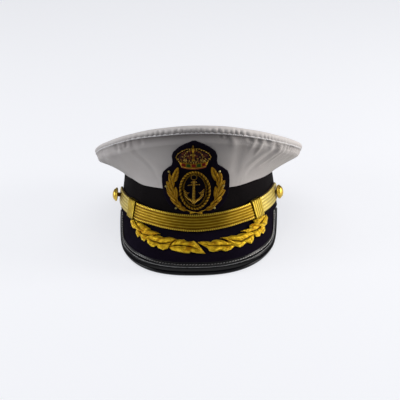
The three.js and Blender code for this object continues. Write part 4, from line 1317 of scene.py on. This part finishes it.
# Rope oval of the badge: three strands of gold cord laid together, with a chain of small beads and
# a fine purl along its inner side.
def oval(turn, grow=0.0):
    return -0.8 + (14.3 + grow) * np.sin(turn), 38.4 + (20.7 + grow) * np.cos(turn)


def ring_strands(name, strands, grow, spread, radius, laps, lift):
    """Strands that wind round one another along the oval."""
    turn = np.linspace(0, 2 * np.pi, 420)
    ways = []
    for phase in laps * turn + 2 * np.pi * np.arange(strands)[:, None] / strands:
        x, z = oval(turn, grow + spread * np.cos(phase))
        ways.append(on_badge(x, z, lift + spread * (1 + 0.8 * np.sin(phase))))
    return thread_mesh(name, ways, radius, sides=8, tones=np.linspace(0.0, 0.75, strands))


rope = ring_strands("badge_rope", 3, 0.6, 0.72, 0.6, 33, RELIEF + 0.7)
placed(rope, badge_gold, "badge_rope_ring", "badge_rope_ring")
bead_turns = np.linspace(0, 2 * np.pi, 73)[:-1]
rope_beads = beads("badge_rope_beads", np.stack(oval(bead_turns, -1.7), -1), 0.5, RELIEF)
placed(rope_beads, badge_gold, "badge_rope_ring")
purl = ring_strands("badge_rope_purl", 2, -2.7, 0.28, 0.3, 50, RELIEF)
placed(purl, badge_gold, "badge_rope_ring")


# Anchor of the badge: gilt wire wound over cord of changing thickness, with a ring, a stock and
# two flukes, and couched down inside the oval.
gilt_wire = Finish("gilt_wire", (0.5, 0.34, 0.05), metallic=1.0, roughness=0.36)
gilt_wire.colored(
    gilt_wire.own("along").wave(1.7).between(0.2, 0.9), (0.09, 0.035, 0.004), (0.48, 0.30, 0.045))
gilt_wire.twisted(0.85, 0.3)
ring_turns = np.linspace(0, 2 * np.pi, 24)
# The middle of each part and its thickness along it: shank, stock, the stock's collar, ring, point
ANCHOR_PARTS = [
    ([(-2.3, 25.5), (-1.9, 38), (-1.4, 50)], (2.1, 1.6, 1.3)),
    ([(-7.6, 43.6), (-1.7, 44.8), (4.2, 44.2)], (0.5, 1.0, 0.5)),
    ([(-4.2, 47.6), (-1.5, 48.2), (1.2, 47.8)], (0.8, 1.5, 0.8)),
    ([(3.0 * math.sin(t) - 1.2, 53.4 + 3.0 * math.cos(t)) for t in ring_turns], (0.45, 0.45)),
    ([(-5.0, 26.8), (-2.4, 22.6), (0.2, 26.8)], (0.9, 1.5, 0.9)),
]
for side in (-1, 1):
    # An arm, its palm's outer edge, its inner edge and the barb between them
    for way, radii in [
        ([(0.4, 24.6), (5.2, 27.8), (8.6, 32.4)], (1.8, 1.5, 1.1)),
        ([(8.2, 31.6), (10.6, 39.6)], (1.5, 0.3)),
        ([(8.6, 31.8), (5.0, 35.6)], (1.2, 0.3)),
        ([(10.4, 39.0), (8.0, 35.4), (5.2, 35.4)], (0.3, 1.2, 0.3)),
    ]:
        ANCHOR_PARTS.append(([(-1.8 + side * x, z) for x, z in way], radii))
anchor_steps = 28
anchor_radii = [
    np.interp(np.linspace(0, 1, anchor_steps), np.linspace(0, 1, len(radii)), radii)
    for _, radii in ANCHOR_PARTS]
anchor = thread_mesh(
    "badge_anchor_wire", [cord_way(way, anchor_steps, RELIEF + 0.9) for way, _ in ANCHOR_PARTS],
    np.array(anchor_radii), sides=10)
placed(anchor, gilt_wire, "badge_anchor", "badge_anchor")


# Crown of the badge: a dark red cap under beaded arches, on a circlet of gold thread. The jewels
# are laid in with silk, and the pearls and beads are sewn on singly.
CIRCLET = {"low": 63.9, "high": 69.2, "foot": 12.8, "top": 15.0, "dip": 2.0}
CROWN_MIDDLE = -1.0
red_felt = Finish("red_felt", (0.05, 0.01, 0.008), roughness=0.85, specular_ior_level=0.2)
flecks = red_felt.noise(420, detail=3).between(0.5, 0.66)
red_felt.colored(flecks, (0.03, 0.006, 0.010), (0.20, 0.05, 0.012))
red_felt.bump(red_felt.noise(900), 0.25)


def on_red_cap(u, v):
    height = CIRCLET["high"] + 14.4 * v
    half = 16.4 * np.sqrt(np.clip(1 - (np.clip(v - 0.3, 0, 1) / 0.72) ** 2.2, 0.02, 1))
    half = half * (0.88 + 0.12 * np.clip(v / 0.3, 0, 1))
    side = 2 * u - 1
    dome = np.sqrt(np.clip(1 - side**2, 0, 1)) * np.sin(np.pi * np.clip(v, 0.04, 0.96)) ** 0.5
    return on_badge(CROWN_MIDDLE + half * side, height, RELIEF + 0.15 + 1.0 * dome)[0]


red_cap = laid_grid("badge_crown_cap", 48, 32, on_red_cap)
placed(smooth(thickened(red_cap, 0.4, -1), 60), red_felt, "badge_crown")

ARCHES = [
    [(15, 72), (17.4, 74.6), (17.8, 77), (15.4, 80.6), (11.4, 83.2), (6, 85.4), (0.8, 85.4)],
    [(8.4, 72), (9.8, 76), (8.8, 80), (5.6, 83), (1.2, 84.4)],
]
sided_arches = [
    [(CROWN_MIDDLE + side * x, z) for x, z in way] for way in ARCHES for side in (-1, 1)]
arches = thread_mesh(
    "badge_crown_arches", [cord_way(way, 30, RELIEF + 0.8) for way in sided_arches], 0.45,
    sides=8, tones=[0.35] * len(sided_arches))
placed(arches, badge_gold, "badge_crown")

# Beads stand along the arches, 2.5 mm apart, and are scattered over the cap between them
bead_spots = []
for way in sided_arches:
    bead_spots += [*on_line(way, np.linspace(0, 1, round(run_along(way)[-1] / 2.5) + 1))]
scattered = np.random.default_rng(4)
for _ in range(34):
    rise, side = scattered.uniform(0.05, 0.75), scattered.uniform(-0.85, 0.85)
    half = 15.5 * math.sqrt(1 - max(0, rise - 0.3) ** 2 / 0.5)
    bead_spots.append((CROWN_MIDDLE + half * side, CIRCLET["high"] + 14 * rise))
bead_gold = Finish("bead_gold", (0.52, 0.36, 0.09), metallic=1.0, roughness=0.35)
bead_gold.colored(bead_gold.own("tone"), (0.20, 0.11, 0.015), (0.52, 0.37, 0.09))
crown_beads = beads("badge_crown_beads", bead_spots, 0.6, RELIEF + 0.9)
placed(crown_beads, bead_gold, "badge_crown", "badge_crown")
middle_spots = [(CROWN_MIDDLE, z) for z in np.arange(73.6, 86.4, 2.4)]
middle_beads = beads("badge_crown_middle_beads", middle_spots, 1.3, RELIEF + 0.6)
placed(middle_beads, badge_gold, "badge_crown")
ball_spots = [(CROWN_MIDDLE, 86.2), (CROWN_MIDDLE, 88.2)]
placed(beads("badge_crown_ball", ball_spots, (1.5, 0.9), RELIEF), badge_gold, "badge_crown")

spread = np.linspace(-1, 1, 24)
circlet_ways = []
for rise in np.linspace(0, 1, 9):
    half = CIRCLET["foot"] + (CIRCLET["top"] - CIRCLET["foot"]) * rise
    height = CIRCLET["low"] + (CIRCLET["high"] - CIRCLET["low"]) * rise
    height = height + CIRCLET["dip"] * spread**2
    circlet_ways.append(on_badge(CROWN_MIDDLE + half * spread, height, RELIEF + 0.7))
placed(thread_mesh("badge_circlet", circlet_ways, 0.42), badge_gold, "badge_crown")

pearl_spots = [
    (CROWN_MIDDLE + half * side, height + CIRCLET["dip"] * side**2)
    for height, half, count in ((70.2, 14.6, 13), (72.2, 15.6, 12))
    for side in np.linspace(-1, 1, count)]
pearls = beads("badge_circlet_pearls", pearl_spots, 0.72, RELIEF + 0.5)
placed(pearls, bead_gold, "badge_crown")

# Middles of the jewels of each colour, and the colour of their silk
JEWELS = {
    "red": ((-10.4, 0, 10.6), (0.20, 0.008, 0.002)),
    "green": ((-5.3, 5.3), (0.018, 0.055, 0.003)),
}
for color, (middles, tint) in JEWELS.items():
    rounding = 0.4 * np.sin(np.linspace(0.2, np.pi - 0.2, 5))
    jewel_ways = []
    for x in middles:
        spots = np.linspace(x - 1.9, x + 1.9, 5)
        for height in np.linspace(65.3, 68.2, 6):
            dipped = height + CIRCLET["dip"] * (spots / 14) ** 2
            jewel_ways.append(on_badge(CROWN_MIDDLE + spots, dipped, RELIEF + 1.2 + rounding))
    silk = Finish(f"{color}_silk", tint, roughness=0.5, specular_ior_level=0.15)
    silk.twisted(1.1, 0.1)
    placed(thread_mesh(f"badge_jewels_{color}", jewel_ways, 0.38), silk, "badge_crown")
edging_way = on_badge(
    CROWN_MIDDLE + 12.4 * spread, 62.8 + CIRCLET["dip"] * spread**2, RELIEF + 0.5)
copper = Finish("copper_silk", (0.26, 0.045, 0.007), roughness=0.45, metallic=0.3)
copper.twisted(1.2, 0.15)
placed(thread_mesh("badge_circlet_edging", [edging_way], 0.6), copper, "badge_crown")


# Stage: a pale floor inside a round pale backdrop, soft light from all round, and the camera where
# the photograph was taken from.

# Both glow a little, as a white sweep does, but send no light at the cap
GLOW = (0.93, 0.94, 0.98, 1)
bpy.ops.mesh.primitive_plane_add(size=6, location=(0, 0, 0))
floor = named("floor")
pale = Finish("pale_floor", (0.34, 0.345, 0.36), roughness=0.9, specular_ior_level=0.1,
              emission_color=GLOW, emission_strength=0.70)
pale.on(floor)
floor.visible_diffuse = False
bpy.ops.mesh.primitive_cylinder_add(
    vertices=96, radius=2.9, depth=6, end_fill_type="NOTHING", location=(0, 0, 3.0))
backdrop = named("backdrop")
paper = Finish("backdrop_paper", (0.0, 0.0, 0.0), roughness=1, specular_ior_level=0,
               emission_color=GLOW, emission_strength=0.92)
paper.on(backdrop)
backdrop.visible_diffuse = backdrop.visible_glossy = backdrop.visible_shadow = False


def soft_light(name, place, toward, size, power, color=(1, 1, 1)):
    light = bpy.data.lights.new(name, "AREA")
    light.shape = "RECTANGLE"
    light.size, light.size_y = size
    light.energy, light.color = power, color
    lamp = linked(name, light)
    lamp.location = place
    aim = unit(np.array(toward) - np.array(place))
    lamp.rotation_euler = (math.acos(-aim[2]), 0, math.atan2(aim[1], aim[0]) - math.pi / 2)


soft_light("overhead", (0, 0.15, 2.0), (0, 0, 0), (2.6, 2.2), 21)
soft_light("front", (0, -1.7, 0.5), (0, 0, 0.05), (1.8, 0.5), 2.0)
soft_light("left", (-1.4, -0.15, 0.35), (0, 0, 0.05), (0.7, 0.5), 9, (0.97, 0.98, 1))
soft_light("right", (1.4, 0.08, 0.35), (0, 0, 0.05), (0.7, 0.5), 15.5, (1, 0.97, 0.93))

world = bpy.data.worlds.new("studio")
world.use_nodes = True
surroundings = world.node_tree.nodes["Background"].inputs
surroundings["Color"].default_value = (0.94, 0.95, 1.0, 1)
surroundings["Strength"].default_value = 0.12
bpy.context.scene.world = world
bpy.context.scene.view_settings.view_transform = "Standard"

# The camera is placed by the upright cap's measures, and tipped back with it
ELEVATION, YAW, LEAN = (math.radians(a) for a in (11.466, 2.515, -1.258))
DISTANCE = 1300
FOCAL_SHARE = 1133.453 / 400
SENSOR = 36
TARGET = np.array([2.059, -20.0, 10.002])
back = np.array([math.sin(YAW) * math.cos(ELEVATION), -math.cos(YAW) * math.cos(ELEVATION),
                 math.sin(ELEVATION)])
right = np.array([math.cos(YAW), math.sin(YAW), 0])
above = np.cross(back, right)
turned_right = math.cos(LEAN) * right + math.sin(LEAN) * above
turned_up = math.cos(LEAN) * above - math.sin(LEAN) * right
eye = TARGET + back * DISTANCE
axes = [standing(eye + axis) - standing(eye) for axis in (turned_right, turned_up, back)]
camera_data = bpy.data.cameras.new("camera")
camera_data.sensor_width = SENSOR
camera_data.lens = FOCAL_SHARE * SENSOR
camera_data.clip_end = 20
camera = linked("camera", camera_data)
placement = np.eye(4)
placement[:3, :3] = np.stack(axes, 1) * 1000
placement[:3, 3] = standing(eye)
camera.matrix_world = Matrix(placement.tolist())
bpy.context.scene.camera = camera
